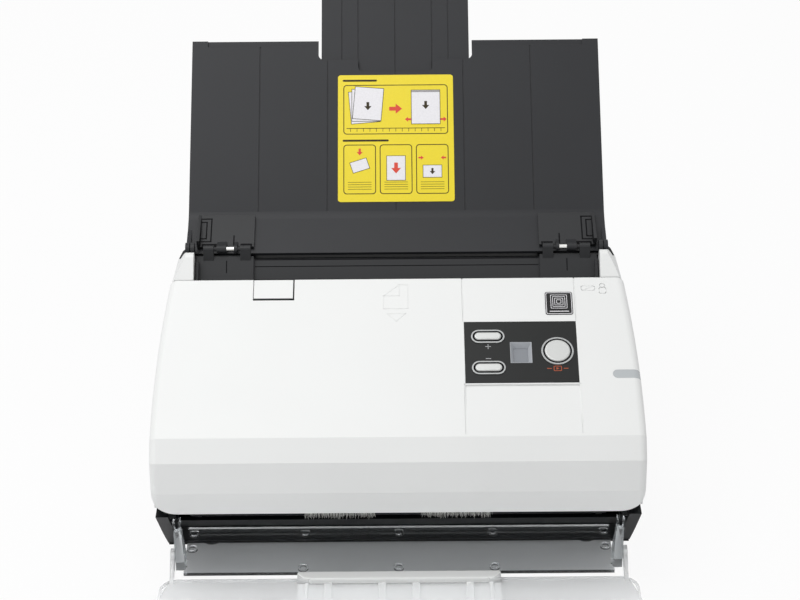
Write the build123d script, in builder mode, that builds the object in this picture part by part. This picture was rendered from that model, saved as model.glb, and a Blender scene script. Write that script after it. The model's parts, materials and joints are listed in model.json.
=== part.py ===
from build123d import *
import os
from math import acos, atan2, ceil, cos, degrees, floor, pi, radians, sin, tan

os.makedirs("parts", exist_ok=True)

# A sheet-fed scanner, set up for use. Millimetres and degrees, +Z up, the front faces -Y.
# Lengths along y are measured from the nose edge of the front cover, heights from the floor.

# Body, seen from above
nose_y = -122.0
body_half = 159.0
body_middle_half = body_half - 2.8
body_rear_half = body_half - 13.5
body_straight_y = 15.0
body_middle_y = 88.0
body_rear_y = 166.0
rear_corner_radius = 8.0
plan_front_y = -40.0
wall = 2.5
clearance = 0.3
running_fit = 0.05

# How far cuts and limiting forms reach past what they shape
overcut = 1.0
spare = 5.0
tall = 300.0

# Front cover, seen from the side: the sloping panel and three front bands
nose_height = 106.0
top_band_length = 16.2
top_band_tilt = 50.0
panel_length = 123.2
panel_tilt = 24.4
middle_band_length = 21.4
middle_band_tilt = 80.0
lip_band_length = 17.9
lip_band_tilt = 98.0
cover_edge_radius = 5.0
lip_corner_radius = 16.0
cover_rear_lip = 5.5
cover_skirt = 20.0
lip_foot = 4.0
edge_start = 4.0
nose_reach = 60.0

# Cover hinge and the parting line that rises from it
hinge_y = 7.0
hinge_z = 73.0
parting_tilt = 38.0
parting_gap = 0.8
hinge_pin_radius = 2.0
ear_gap = 0.4
boss_width = 7.0
boss_radius = 5.0

# Paper path, a flat ramp from the chute down to the exit
path_y = 19.0
path_z = 53.4
path_tilt = 43.0
path_gap = 2.4
guide_half = body_half - 22.6
guide_thickness = 2.5
guide_bottom_s = -2.0
guide_top_s = 174.0
frame_thickness = 1.5
frame_foot_z = 5.0
cheek_outer = guide_half + 3.1
cheek_width = 2.5
cheek_bottom_s = 171.0
cheek_toe = 1.5
cheek_front_height = 2.0
hinge_pin_bore = 2.55
exit_window = 8.0
tyre_window_gap = 2.0
feed_window = 13.0
feed_window_gap = 3.0

# Rollers on the path
feed_s = 120.0
feed_radius = 11.0
feed_proud = 1.0
feed_tyre_width = 18.0
feed_tyre_x = 14.0
exit_s = 14.0
exit_radius = 7.0
exit_proud = 0.8
exit_tyre_width = 20.0
exit_tyre_xs = (-80.0, -30.0, 30.0, 80.0)
shaft_radius = 3.0
pinch_radius = 5.0
pinch_shaft_radius = 1.5
pinch_shaft_half = guide_half - 38.4
bushing_radius = 4.2

# Drive on the left side
motor_y = 120.0
motor_z = 40.0
motor_radius = 17.0
motor_right = 44.4 - guide_half
motor_flange = 2.0
motor_boss_proud = 1.0
pulley_width = 5.0
pulley_flange = 0.7
pulley_flange_rise = 1.6
belt_x = -guide_half - 7.6
belt_thickness = 1.2
feed_pulley_radius = 9.0
exit_pulley_radius = 5.5
motor_pulley_radius = 5.0

# Scan modules
scan_half = guide_half - 23.4
lower_scan_s = 52.0
upper_scan_s = 74.0
scan_glass_length = 12.0
scan_module_length = 18.0
scan_module_height = 13.0
scan_module_half = scan_half + 2.0

# Shoulders that carry the chute, and the chute's hinge
notch_half = guide_half + 0.2
shoulder_z = 182.0
shoulder_peak_y = 135.0
shoulder_rear_y = 141.5
side_cover_front_y = 12.5
side_cover_rear_y = 150.0
rear_cover_front_y = 150.3
shoulder_crown_radius = 4.4
shoulder_bottom_z = 150.0
crown_top = (body_half - 17.3, shoulder_z)
crown_middle = (body_half - 10.0, 170.0)
crown_foot = (body_half - 4.4, 153.0)
chute_hinge_y = 147.0
chute_hinge_z = 179.5
rear_deck_z = 170.5

# Chute
chute_half = guide_half + 6.6
chute_thickness = 2.5
chute_drop = 5.0
chute_foot_length = 32.0
chute_foot_tilt = 24.0
chute_tilt = 42.75
chute_length = 130.0
chute_rim = 4.4
chute_rim_depth = 1.2
chute_corner_width = 11.0
chute_ear_inner = chute_half - 2.8
chute_ear_radius = 4.5
chute_ear_length = 20.0
chute_ear_taper = 4.0
chute_ear_rise = 1.0
chute_ear_step = (5.2, -2.6)
chute_ear_top = (3.0, 3.3)
chute_ear_heel = (-3.5, -2.8)
chute_flange_depth = 8.0
chute_flange_thickness = 2.0
chute_flange_ramp = 6.0
chute_flange_end = 4.0
chute_bend_radius = 18.0
chute_pin_radius = 2.5
chute_pin_inner = guide_half + 0.6
notch_half_width = 54.0
notch_corner = 4.0
rail_inner = 52.3
rail_outer = 55.0
rail_lip = 48.0
rail_bottom = 40.0
rail_depth = 8.0
groove_width = 0.8
groove_depth = 0.5
chute_groove_pitch = 47.5
chute_groove_start = 3.0

# Chute extension
extension_half = 52.0
extension_thickness = 2.2
extension_top_depth = 2.9
extension_corner = 4.0
extension_grooves = (-37.5, -26.0, 0.0, 26.0, 37.5)
extension_groove_margin = 4.0
extension_bottom = 100.0
extension_top = 226.0
notch_shoulder = 115.3
notch_tongue = 105.8
tongue_half = 26.0

# Instruction label
label_width = 80.6
label_height = 94.0
label_bottom = 9.4
label_thickness = 0.3
label_corner = 2.0

# Document guides
guide_plate_outer = guide_half - 0.6
guide_plate_inner = guide_plate_outer - 38.8
guide_plate_thickness = 2.0
guide_plate_lift = 1.0
guide_fin_thickness = 2.0
guide_fin_height = 8.0
guide_fin_start = 12.0
guide_fin_slope = 3.0
guide_fin_end = 4.0
guide_fin_end_slope = 1.0
flap_thickness = 2.0
flap_start = 4.0
flap_plate_end = 31.0
flap_fin_end = 31.0
flap_fin_height = 4.0
knuckle_radius = 2.6
knuckle_pin_radius = 1.5
knuckle_root = 3.0
guide_knuckles = ((guide_plate_inner + 2.0, guide_plate_inner + 9.0),
                  (guide_plate_outer - 11.8, guide_plate_outer - 4.8))
flap_knuckles = ((guide_plate_inner + 11.0, guide_plate_inner + 13.2),
                 (guide_plate_inner + 18.3, guide_plate_inner + 25.0))
flap_knuckle_reach = 8.0
rack_module = 1.5
pinion_teeth = 9
rack_s = 147.0
pressure_angle = 20.0
tooth_width = 2.05
rack_tip = 0.7
rack_root = 1.4
pinion_tip = 7.95
pinion_root = 5.6
pinion_post_radius = 2.0
rack_low = -9.0
rack_high = -5.5
rack_foot_low = 9.0
rack_foot_high = 12.0
rack_foot_outer = guide_half - 5.4
rack_foot_inner = rack_foot_outer - 12.0
rack_slot_inner = 38.0
rack_slot_outer = rack_foot_outer + 1.0
pinion_washer = 1.0
pinion_washer_rise = 1.2
rack_reach = 10.0
guide_low = 13.0
guide_plate_top_s = 175.0
flap_lift = 0.4

# Control panel, in x and in height up the panel from its front edge
strip_right = body_half - 41.0
strip_left = strip_right - 74.0
strip_ridge = 1.0
bezel_bottom = 40.0
bezel_top = 88.0
bezel_thickness = 1.2
key_x = strip_left + 15.5
plus_key_s = 76.1
minus_key_s = 51.7
key_length = 17.6
key_height = 5.8
ring_width = 2.0
scan_button_x = strip_right - 13.2
scan_button_s = 64.3
scan_button_radius = 8.4
button_gap = 0.2
button_proud = 1.4
ring_proud = 0.7
display_x = strip_left + 37.0
display_s = 63.6
display_width = 14.3
display_height = 16.3
display_depth = 4.0
display_bevel = 2.4
badge_x = strip_right - 10.4
badge_s = 102.3
badge_size = 18.2
badge_thickness = 0.3
light_x = body_half - 19.0
light_s = 46.5
light_height = 6.4
light_wrap = 8.4
strip_ramp_s = 4.0
seam_start = 2.0
board_depth = 6.4
board_thickness = 1.6
board_margin = 4.0
post_radius = 2.0
post_inset = 4.0
stem_depth = 5.2
flange_thickness = 1.2
flange_rise = 1.2
cap_radius = 0.8
display_floor = 1.0
display_rim = 0.6
badge_corner = 1.5

# Release button and latch
release_left = 63.0 - body_half
release_right = release_left + 27.5
release_bottom = 106.5
release_gap_left = 0.4
release_gap_right = 0.9
release_gap_front = 1.7
release_gap_rear = 0.2
release_notch_depth = 5.6
release_arm_depth = 5.2
release_arm_width = 3.0
release_arm_thickness = 2.0
release_foot_depth = 9.2
release_foot_width = 1.4
latch_s = 106.0
latch_depth = 10.5
latch_radius = 2.0
latch_play = 0.5
lever_x = release_left + 13.5
lever_width = 5.0
lever_tip_s = 95.6
lever_heel = 1.7
lever_toe = 1.2
hook_outer = guide_half + 4.8
hook_width = 2.0
hook_reach = 7.4
hook_root_half = 1.9
hook_tip_half = 1.2
catch_y = 103.0
catch_z = 146.0
stud_spare = 0.5
catch_spare = 0.8

# Inside the cover
tub_half = guide_half - 2.4
tub_gap = 0.2
tub_bottom_s = 2.0
tub_top_s = 132.2
tub_opening_s = 114.0
tub_brush_gap = 2.0
tub_front_drop = 6.5
tub_lip_gap = 0.7
tub_lip_rise = 1.1
tub_nose_gap = 1.0
tub_front_margin = 3.0
tub_rear_margin = 4.8
tub_rear_drop = 1.1
tub_sill_depth = 4.0
tub_slope_length = 6.0
tub_slope_depth = 9.0
window_gap = 1.0
pinch_window = 6.5
pinch_bracket_top = 9.5
bracket_width = 3.0
bracket_root = 2.0
bracket_foot_half = 5.0
bracket_top_half = 3.0
arm_half = 16.0
arm_window_half = 19.0
arm_window_bottom = 110.0
arm_window_top = 130.0
arm_bracket_inner = 20.5
arm_bracket_outer = 22.5
arm_bracket_front = 4.0
arm_bracket_rear = 3.0
arm_bracket_cap = 2.5
arm_pivot_s = 128.0
arm_pivot_out = 7.0
arm_pin_radius = 1.5
arm_thickness = 2.0
arm_corners = ((1.5, -1.5), (1.8, 1.0), (-1.0, 2.0), (-4.0, -1.0))
pad_bottom_s = 113.0
pad_top_s = 126.0
pad_inset = 1.0
pad_out = 1.4
pad_thickness = 1.5

# Output tray
cheek_inner = body_half - 9.5
tray_top_z = 20.0
tray_thickness = 2.5
tray_half = cheek_inner - 8.0
tray_front_y = -2.0
tray_rear_y = 43.8
tray_stop_thickness = 2.0
tray_stop_height = 2.5
tray_arm_inner = tray_half + 0.2
tray_arm_outer = cheek_inner - 2.5
tray_arm_top = 56.5
tray_arm_front_y = 4.0
tray_arm_rear_y = 10.0
tray_arm_root = 2.0
tray_arm_rise = 1.0
tray_ring_radius = 3.5
tray_ring_wall = 1.2
tray_ring_height = 1.2
tray_ring_rear_y = 38.9
tray_ring_side_y = 22.7
tray_ring_front_y = 1.6
tray_ring_middle_x = 63.0
tray_ring_side_x = tray_half - 4.0
tray_corner_radius = 12.0
tray_pivot_y = 6.0
tray_pivot_z = 28.5
tray_pivot_radius = 2.0
tray_pivot_length = 3.2
tray_ear_gap = 0.3
tray_bar_width = 2.5
tray_bar_overlap = 8.0
tray_bar_height = 5.0
tray_bar_foot = (-0.5, -4.5)
tray_bar_top = (-2.0, 4.0)
flap_plate_rear_y = -9.0
flap_plate_front_y = -104.0
flap_plate_rear_half = cheek_inner + 0.3
flap_plate_half = body_half - 2.5
flap_widen_y = -31.0
flap_bottom_z = 17.0
flap_notch_y = -94.0
third_bottom_z = 20.0
tray_hinge_y = -100.0
tray_hinge_z = 19.8
hinge_ear_gap = 0.4
hinge_ear_width = 2.6
hinge_ear_radius = 4.0
hinge_barrel_radius = 3.0
hinge_pin_reach = 3.2
third_half = 66.0
third_rear_y = -10.0
handle_depth = 7.6
handle_height = 6.5

# Exit brushes
brush_inner = 15.0
brush_length = 46.0
brush_y = 12.8
brush_top_z = 66.5
brush_margin = 1.0
strand_width = 0.4
strand_length = 10.0
strand_columns = 60
strand_rows = 3
strand_row_pitch = 1.2
brush_back_height = 3.9

# Inside the body
ear_radius = 4.5
frame_foot_y = 144.0
frame_top_points = ((20, 80), (100, 150), (105, 150), (112, 146), (116, 143), (frame_foot_y, 140))
frame_bottom_points = ((frame_foot_y, frame_foot_z), (56, frame_foot_z), (56, 26), (26, 60), (24, 69))
motor_boss_radius = 5.9
stub_radius = 1.5
bushing_outer = guide_half + 3.0
bushing_flange_radius = 5.4
bushing_flange = 0.8
shaft_left = -guide_half - 10.8
shaft_right = guide_half + 3.4
belt_gap = 0.2
sensor_x = 60.0
sensor_s = 96.0
sensor_out = -6.0
sensor_width = 3.0
sensor_pin_radius = 1.2
sensor_slot_bottom = 86.5
sensor_slot_top = 98.5
sensor_slot_gap = 0.8
sensor_bracket_gap = 1.1
sensor_bracket_width = 1.5
sensor_bracket_foot = 3.0
sensor_bracket_tip = 2.2
sensor_flag = ((-5.8, 1.2), (-4.7, 1.8), (-3.8, 1.3))
sensor_heel = ((1.6, 1.0), (0.0, -1.8), (-1.8, 0.0))

# Base
foot_height = 3.5
foot_radius = 8.0
foot_x = body_half - 31.0
foot_chamfer = 0.8
foot_ys = (60.0, 148.0)
bottom_thickness = 1.5
plate_inset = 0.5
plate_rear_gap = 4.0
base_top_z = 62.5
base_inset = 1.5
base_taper = 2.5
base_front_y = 2.0
base_floor_y = 50.0
base_room_y = 60.0
front_wall_top_y = 18.5
front_wall_top_z = 47.5
front_wall_bend_y = 48.0
front_wall_bend_z = 20.0
wall_rise = 1.0
screw_radius = 1.5
screw_head_radius = 3.0
screw_head_height = 1.6
screw_length = 10.0
screw_places = ((body_half - 16.0, 70.0), (body_half - 16.0, 140.0))
screw_boss_top = 26.0
screw_boss_wall = 1.0
rib_half = 1.0
hook_offset = 2.0
hook_block_inner = cheek_inner - 4.5
hook_block_z = 58.0
hook_block_top = 61.0
hook_tab_inner = cheek_inner - 5.6
hook_tab_outer = cheek_inner - 3.8
hook_tab_z = 50.0
prong_gap = 0.5
prong_width = 1.2
prong_base_low = 3.0
prong_base_high = 1.0

# Rear panel
board_y = 155.0
port_z = 82.0
usb_x = -70.0
jack_x = -40.0
switch_x = 60.0
board_left = -100.0
board_right = 50.0
board_bottom = 68.0
board_top = 128.0
board_post_inset = 5.0
usb_width = 12.0
usb_height = 11.0
usb_tongue = 5.6
jack_width = 9.0
jack_height = 11.0
jack_bore_radius = 3.2
jack_pin_radius = 1.0
socket_shell = 1.2
socket_back = 1.0
switch_width = 9.0
switch_pivot_y = 160.0
switch_hole_half = 8.2
switch_bracket_gap = 0.5
switch_bracket_width = 2.0
switch_bracket_root = 4.0
switch_bracket_spread = 6.0
switch_corners = ((-3.0, -2.0), (4.0, -6.2), (6.0, -6.2), (5.8, 0.0), (7.6, 6.2), (5.0, 6.2), (-3.0, 2.0))
vent_count = 14
vent_pitch = 9.0
vent_width = 4.0
vent_bottom = 135.0
vent_top = 155.0
rest_stop_x = body_half - 59.0
rest_stop_half = 4.0
rest_stop_depth = 8.0
rest_stop_sink = 1.0
rest_stop_low = 5.5
rest_stop_high = 14.0


def along(point, length, tilt):
    """The (y, z) point reached from another by going a length at a tilt."""
    return (point[0] + length * cos(radians(tilt)), point[1] + length * sin(radians(tilt)))


def off_line(point, tilt, up, out):
    """The (y, z) point that lies up along a tilted line and out from it, to its upper side."""
    return along(along(point, up, tilt), out, tilt + 90)


def tilted(point, tilt):
    """A work plane at a (y, z) point: x across the scanner, y climbing to the rear."""
    normal = (0, -sin(radians(tilt)), cos(radians(tilt)))
    return Plane((0, nose_y + point[0], point[1]), x_dir=(1, 0, 0), z_dir=normal)


def side(x=0):
    """A work plane at x whose sketches are (y, z) profiles, extruded towards +X."""
    return Plane((x, nose_y, 0), x_dir=(0, 1, 0), z_dir=(1, 0, 0))


def level(z):
    """A work plane at a height, with y measured from the nose."""
    return Plane((0, nose_y, z))


def upright(y):
    """A work plane facing the front at y, with x across and y up, extruded towards -Y."""
    return Plane((0, nose_y + y, 0), x_dir=(1, 0, 0), z_dir=(0, -1, 0))


def patch(x0, x1, y0, y1):
    """A rectangle between two x values and two y values."""
    with BuildSketch() as shape:
        with Locations(((x0 + x1) / 2, (y0 + y1) / 2)):
            Rectangle(x1 - x0, y1 - y0)
    return shape.sketch


def prism(x0, x1, *points, place=None):
    """A solid between two x values, from (y, z) points or from points that place() turns into them."""
    outline_points = [place(*point) for point in points] if place else points
    with BuildPart() as solid:
        with BuildSketch(side(x0)):
            Polygon(*outline_points, align=None)
        extrude(amount=x1 - x0)
    return solid.part


def slab(plane, x0, x1, y0, y1, low, high):
    """A block on a work plane, between two heights over it."""
    with BuildPart() as solid:
        with BuildSketch(plane.offset(low)):
            add(patch(x0, x1, y0, y1))
        extrude(amount=high - low)
    return solid.part


def rod(x0, x1, point, radius, bore=0.0):
    """A cylinder along x about a (y, z) point, with an optional bore."""
    with BuildPart() as solid:
        with BuildSketch(side(x0)):
            with Locations(point):
                Circle(radius)
                if bore:
                    Circle(bore, mode=Mode.SUBTRACT)
        extrude(amount=x1 - x0)
    return solid.part


def post(plane, x, y, radius, low, high):
    """A round post standing on a work plane."""
    with BuildPart() as solid:
        with BuildSketch(plane.offset(low)):
            with Locations((x, y)):
                Circle(radius)
        extrude(amount=high - low)
    return solid.part


def save(piece, name):
    piece.part.label = name
    export_step(piece.part, f"parts/{name}.step")


def outline(inset):
    """The body's plan, inset all round except at the front."""
    half = body_half - inset
    middle = (body_middle_half - inset, body_middle_y)
    rear = (body_rear_half - inset, body_rear_y - inset)
    with BuildSketch() as plan:
        with BuildLine():
            Polyline((half, body_straight_y), (half, plan_front_y), (-half, plan_front_y),
                     (-half, body_straight_y))
            ThreePointArc((half, body_straight_y), middle, rear)
            ThreePointArc((-half, body_straight_y), (-middle[0], middle[1]), (-rear[0], rear[1]))
            Line(rear, (-rear[0], rear[1]))
        make_face()
        fillet(plan.vertices().group_by(Axis.Y)[-1], rear_corner_radius - inset)
    return plan.sketch


# Points of the cover's side view
nose = (0.0, nose_height)
panel_front = along(nose, top_band_length, top_band_tilt)
panel_rear = along(panel_front, panel_length, panel_tilt)
brow = along(nose, -middle_band_length, middle_band_tilt)
lip = along(brow, -lip_band_length, lip_band_tilt)
hinge = (hinge_y, hinge_z)


def parting_z(y):
    """Height of the line where the cover meets the side covers."""
    return hinge_z + (y - hinge_y) * tan(radians(parting_tilt))


def path_point(s, out=0.0):
    return off_line((path_y, path_z), path_tilt, s, out)


def path_place(point):
    """How far up the path a (y, z) point lies, and how far out from it."""
    across, rise = point[0] - path_y, point[1] - path_z
    run, climb = cos(radians(path_tilt)), sin(radians(path_tilt))
    return (across * run + rise * climb, rise * run - across * climb)


def panel_point(s, out=0.0):
    return off_line(panel_front, panel_tilt, s, out)


def foot_point(up, out=0.0):
    return off_line(chute_hinge, chute_foot_tilt, up, out)


def chute_point(length, out=0.0):
    return off_line(chute_bend, chute_tilt, length, out)


path = tilted((path_y, path_z), path_tilt)
panel = tilted(panel_front, panel_tilt)
chute_hinge = (chute_hinge_y, chute_hinge_z)
chute_foot = tilted(chute_hinge, chute_foot_tilt)
chute_bend = off_line(chute_hinge, chute_foot_tilt, chute_foot_length, -chute_drop)
chute_face = tilted(chute_bend, chute_tilt)
cover_rear_y = panel_rear[0]
hinge_s, hinge_out = path_place(chute_hinge)
ear_diagonal = ear_radius * sin(radians(45))
frame_inner = guide_half
frame_outer = guide_half + frame_thickness


# Front cover: outer form, then the form inset by a wall, then the shell between them
def cover_form(inset):
    """The cover's closed outer form, or the same form drawn in by an inset."""
    base_z = lip[1] - cover_skirt
    foot_y = lip[0] + lip_foot
    with BuildPart() as form:
        with BuildSketch(side(-body_half - spare)):
            if inset:
                Polygon(panel_rear, panel_front, nose, brow, lip, (lip[0], base_z),
                        (cover_rear_y, base_z), align=None)
                offset(amount=-inset, kind=Kind.INTERSECTION)
            else:
                Polygon(panel_rear, panel_front, nose, brow, lip, (foot_y, lip[1]),
                        (foot_y, parting_z(foot_y)), (cover_rear_y, panel_rear[1] - cover_rear_lip),
                        align=None)
        extrude(amount=2 * (body_half + spare))
        with BuildSketch(level(0)):
            add(outline(inset))
        extrude(amount=tall, mode=Mode.INTERSECT)
        if not inset:
            sides = form.faces().sort_by(Axis.X)
            rim = [e for f in (sides[0], sides[-1]) for e in f.edges()]
            top = [e for e in rim if e.center().Z > parting_z(e.center().Y - nose_y) + edge_start]
            fillet(top, cover_edge_radius)
        corner_x = body_half - lip_corner_radius
        corner_z = lip[1] + lip_corner_radius
        corner_y = hinge_y + (corner_z - hinge_z) / tan(radians(parting_tilt))
        with BuildSketch(upright(corner_y)) as corners:
            with Locations((corner_x, corner_z)):
                Rectangle(lip_corner_radius + spare, lip_corner_radius + cover_skirt,
                          align=(Align.MIN, Align.MAX))
                Circle(lip_corner_radius - inset, mode=Mode.SUBTRACT)
            mirror(about=Plane.YZ)
        extrude(amount=nose_reach, mode=Mode.SUBTRACT)
    return form.part


cover_outer = cover_form(0)
cover_inner = cover_form(wall)


panel_axis = Axis(panel.origin, panel.z_dir)


def panel_holes(grow=0.0):
    """The holes for the three buttons, in panel coordinates, grown all round."""
    rim = button_gap + grow
    with BuildSketch() as shape:
        with Locations((key_x, plus_key_s), (key_x, minus_key_s)):
            SlotOverall(key_length + 2 * rim, key_height + 2 * rim)
        with Locations((scan_button_x, scan_button_s)):
            Circle(scan_button_radius + rim)
    return shape.sketch


def display_hole():
    with BuildSketch() as shape:
        with Locations((display_x, display_s)):
            Rectangle(display_width, display_height)
    return shape.sketch


def light_slot():
    """The status light's outline, running off the right edge of the panel."""
    with BuildSketch() as shape:
        with Locations((light_x + light_height / 2, light_s)):
            Circle(light_height / 2)
        add(patch(light_x + light_height / 2, body_half + spare,
                  light_s - light_height / 2, light_s + light_height / 2))
    return shape.sketch


# Status light: the skin of the cover inside its slot
with BuildPart() as light_pipe:
    add(cover_outer)
    add(cover_inner, mode=Mode.SUBTRACT)
    with BuildSketch(panel.offset(-light_wrap)):
        add(light_slot())
    extrude(amount=light_wrap + spare, mode=Mode.INTERSECT)
save(light_pipe, "light_pipe")

# Front cover shell, with its hinge bosses and the posts of the panel board
post_places = [(x, s) for x in (strip_left + post_inset, strip_right - post_inset)
               for s in (bezel_bottom + post_inset, bezel_top - post_inset)]
boss_inner = frame_outer + ear_gap
boss_outer = boss_inner + boss_width
with BuildPart() as front_cover:
    add(cover_outer)
    add(cover_inner, mode=Mode.SUBTRACT)
    for x in (-boss_outer, boss_inner):
        with BuildSketch(side(x)):
            Polygon((brow[0] + wall / 2, brow[1]), (lip[0] + wall / 2, lip[1] + wall / 2),
                    (hinge_y, hinge_z - boss_radius), (hinge_y + boss_radius, hinge_z),
                    (hinge_y + boss_radius, brow[1]), align=None)
            with Locations(hinge):
                Circle(boss_radius)
                Circle(hinge_pin_radius + running_fit, mode=Mode.SUBTRACT)
        extrude(amount=boss_width)
    with BuildSketch(panel.offset(-wall)):
        with Locations(*post_places):
            Circle(post_radius)
    extrude(amount=wall - board_depth)
    with BuildSketch(panel):
        add(patch(strip_left, strip_right, bezel_bottom, bezel_top))
    extrude(amount=-bezel_thickness, mode=Mode.SUBTRACT)
    with BuildSketch(panel):
        add(panel_holes())
        add(display_hole())
    extrude(amount=-2 * wall, mode=Mode.SUBTRACT)
    with BuildSketch(panel):
        for x in (strip_left - groove_width, strip_right):
            add(patch(x, x + groove_width, seam_start, bezel_bottom - clearance))
            add(patch(x, x + groove_width, bezel_top + clearance, panel_length + overcut))
    extrude(amount=-groove_depth, mode=Mode.SUBTRACT)
    add(prism(strip_left, strip_right, (strip_ramp_s, overcut), (strip_ramp_s, 0),
              (bezel_bottom - strip_ridge, -bezel_thickness), (bezel_bottom - strip_ridge, overcut),
              place=panel_point), mode=Mode.SUBTRACT)
    add(slab(panel, release_left, release_right, release_bottom, panel_length + spare,
             -release_notch_depth, overcut), mode=Mode.SUBTRACT)
    add(light_pipe.part, mode=Mode.SUBTRACT)
save(front_cover, "front_cover")

# Control bezel
with BuildPart() as control_bezel:
    with BuildSketch(panel.offset(-bezel_thickness)):
        add(patch(strip_left, strip_right, bezel_bottom, bezel_top))
        add(panel_holes(), mode=Mode.SUBTRACT)
        add(display_hole(), mode=Mode.SUBTRACT)
    extrude(amount=bezel_thickness)
save(control_bezel, "control_bezel")

# Silver rings round the buttons
with BuildPart() as button_rings:
    with BuildSketch(panel):
        add(panel_holes(ring_width))
        add(panel_holes(), mode=Mode.SUBTRACT)
    extrude(amount=ring_proud)
save(button_rings, "button_rings")

# Square display, a cup with sloping sides
with BuildPart() as display_well:
    with BuildSketch(panel):
        add(display_hole())
        offset(amount=-running_fit)
    extrude(amount=-display_depth - display_floor)
    with BuildSketch(panel):
        with Locations((display_x, display_s)):
            Rectangle(display_width - display_rim, display_height - display_rim)
    with BuildSketch(panel.offset(-display_depth)):
        with Locations((display_x, display_s)):
            Rectangle(display_width - 2 * display_bevel, display_height - 2 * display_bevel)
    loft(mode=Mode.SUBTRACT)
save(display_well, "display_well")

# Keys and scan button: a proud cap, a stem through the cover and a flange under it
for name, x, s in (("plus_button", key_x, plus_key_s), ("minus_button", key_x, minus_key_s),
                   ("scan_button", scan_button_x, scan_button_s)):
    with BuildPart() as button:
        with BuildSketch(panel.offset(-stem_depth)):
            with Locations((x, s)):
                if name == "scan_button":
                    Circle(scan_button_radius)
                else:
                    SlotOverall(key_length, key_height)
        extrude(amount=stem_depth + button_proud)
        fillet(button.faces().sort_by(panel_axis)[-1].edges(), cap_radius)
        with BuildSketch(panel.offset(-wall - clearance - flange_thickness)):
            with Locations((x, s)):
                if name == "scan_button":
                    Circle(scan_button_radius + flange_rise)
                else:
                    SlotOverall(key_length + 2 * flange_rise, key_height + 2 * flange_rise)
        extrude(amount=flange_thickness)
    save(button, name)

# Board behind the panel
with BuildPart() as panel_board:
    add(slab(panel, strip_left - board_margin, strip_right + board_margin, bezel_bottom - board_margin,
             bezel_top + board_margin, -board_depth - board_thickness, -board_depth))
save(panel_board, "panel_board")

# Plain badge plate
with BuildPart() as badge_plate:
    with BuildSketch(panel):
        with Locations((badge_x, badge_s)):
            RectangleRounded(badge_size, badge_size, badge_corner)
    extrude(amount=badge_thickness)
save(badge_plate, "badge_plate")

# Upper paper guide: a tub under the cover, open towards it
tub_front_y = brush_y + strand_row_pitch + brush_margin + tub_brush_gap
tub_corner = (tub_front_y, brush_top_z)
tub_lip = (lip[0] + wall + tub_lip_gap, brush_top_z + tub_lip_rise)
tub_rear = panel_point(panel_length - tub_rear_margin, -wall - tub_rear_drop)
tub_profile = (path_point(tub_bottom_s, path_gap), (tub_front_y, brush_top_z - tub_front_drop), tub_corner,
               tub_lip, (brow[0] + wall + tub_gap, brow[1]), (nose[0] + wall + tub_nose_gap, nose[1]),
               panel_point(tub_front_margin, -wall - tub_gap),
               panel_point(panel_length - tub_rear_margin - tub_gap, -wall - tub_gap), tub_rear,
               path_point(tub_top_s, path_gap))
pinch_axis = path_point(exit_s, exit_proud + clearance + pinch_radius)
arm_axis = path_point(arm_pivot_s, arm_pivot_out)
latch_axis = panel_point(latch_s, -latch_depth)
with BuildPart() as upper_paper_guide:
    add(prism(-tub_half, tub_half, *tub_profile))
    with BuildSketch(side(wall - tub_half)):
        Polygon(*tub_profile, align=None)
        offset(amount=-wall, kind=Kind.INTERSECTION)
        Polygon((tub_lip[0], tub_lip[1] + wall), (-4 * spare, tub_lip[1] + wall), (-4 * spare, nose_height),
                panel_point(0, 2 * spare), panel_point(tub_opening_s, 2 * spare),
                panel_point(tub_opening_s, -tub_sill_depth),
                panel_point(tub_opening_s - tub_slope_length, -tub_slope_depth), align=None)
    extrude(amount=2 * (tub_half - wall), mode=Mode.SUBTRACT)
    window_top = path_gap + wall + overcut
    for x in exit_tyre_xs:
        add(slab(path, x - exit_tyre_width / 2 - window_gap, x + exit_tyre_width / 2 + window_gap,
                 exit_s - pinch_window, exit_s + pinch_window, 0, window_top), mode=Mode.SUBTRACT)
    add(slab(path, -scan_half - running_fit, scan_half + running_fit,
             upper_scan_s - scan_glass_length / 2 - running_fit,
             upper_scan_s + scan_glass_length / 2 + running_fit, 0, window_top), mode=Mode.SUBTRACT)
    add(slab(path, -arm_window_half, arm_window_half, arm_window_bottom, arm_window_top, 0, window_top),
        mode=Mode.SUBTRACT)
    root = path_gap + bracket_root
    for x in (-pinch_shaft_half, -bracket_width / 2, pinch_shaft_half - bracket_width):
        add(prism(x, x + bracket_width, (exit_s - bracket_foot_half, root),
                  (exit_s + bracket_foot_half, root), (exit_s + bracket_top_half, pinch_bracket_top),
                  (exit_s - bracket_top_half, pinch_bracket_top), place=path_point))
    for x in (-arm_bracket_outer, arm_bracket_inner):
        add(prism(x, x + arm_bracket_outer - arm_bracket_inner, (arm_pivot_s - arm_bracket_front, root),
                  (arm_pivot_s + arm_bracket_rear, root),
                  (arm_pivot_s + arm_bracket_cap, arm_pivot_out + arm_bracket_cap),
                  (arm_pivot_s - arm_bracket_cap, arm_pivot_out + arm_bracket_cap), place=path_point))
    add(rod(-tub_half, tub_half, pinch_axis, pinch_shaft_radius + running_fit), mode=Mode.SUBTRACT)
    add(rod(-arm_bracket_outer, arm_bracket_outer, arm_axis, arm_pin_radius + running_fit),
        mode=Mode.SUBTRACT)
    add(rod(-tub_half, tub_half, latch_axis, latch_radius + running_fit), mode=Mode.SUBTRACT)
    add(slab(panel, release_left, release_right, release_bottom, panel_length + spare,
             -release_notch_depth, overcut), mode=Mode.SUBTRACT)
save(upper_paper_guide, "upper_paper_guide")

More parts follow.
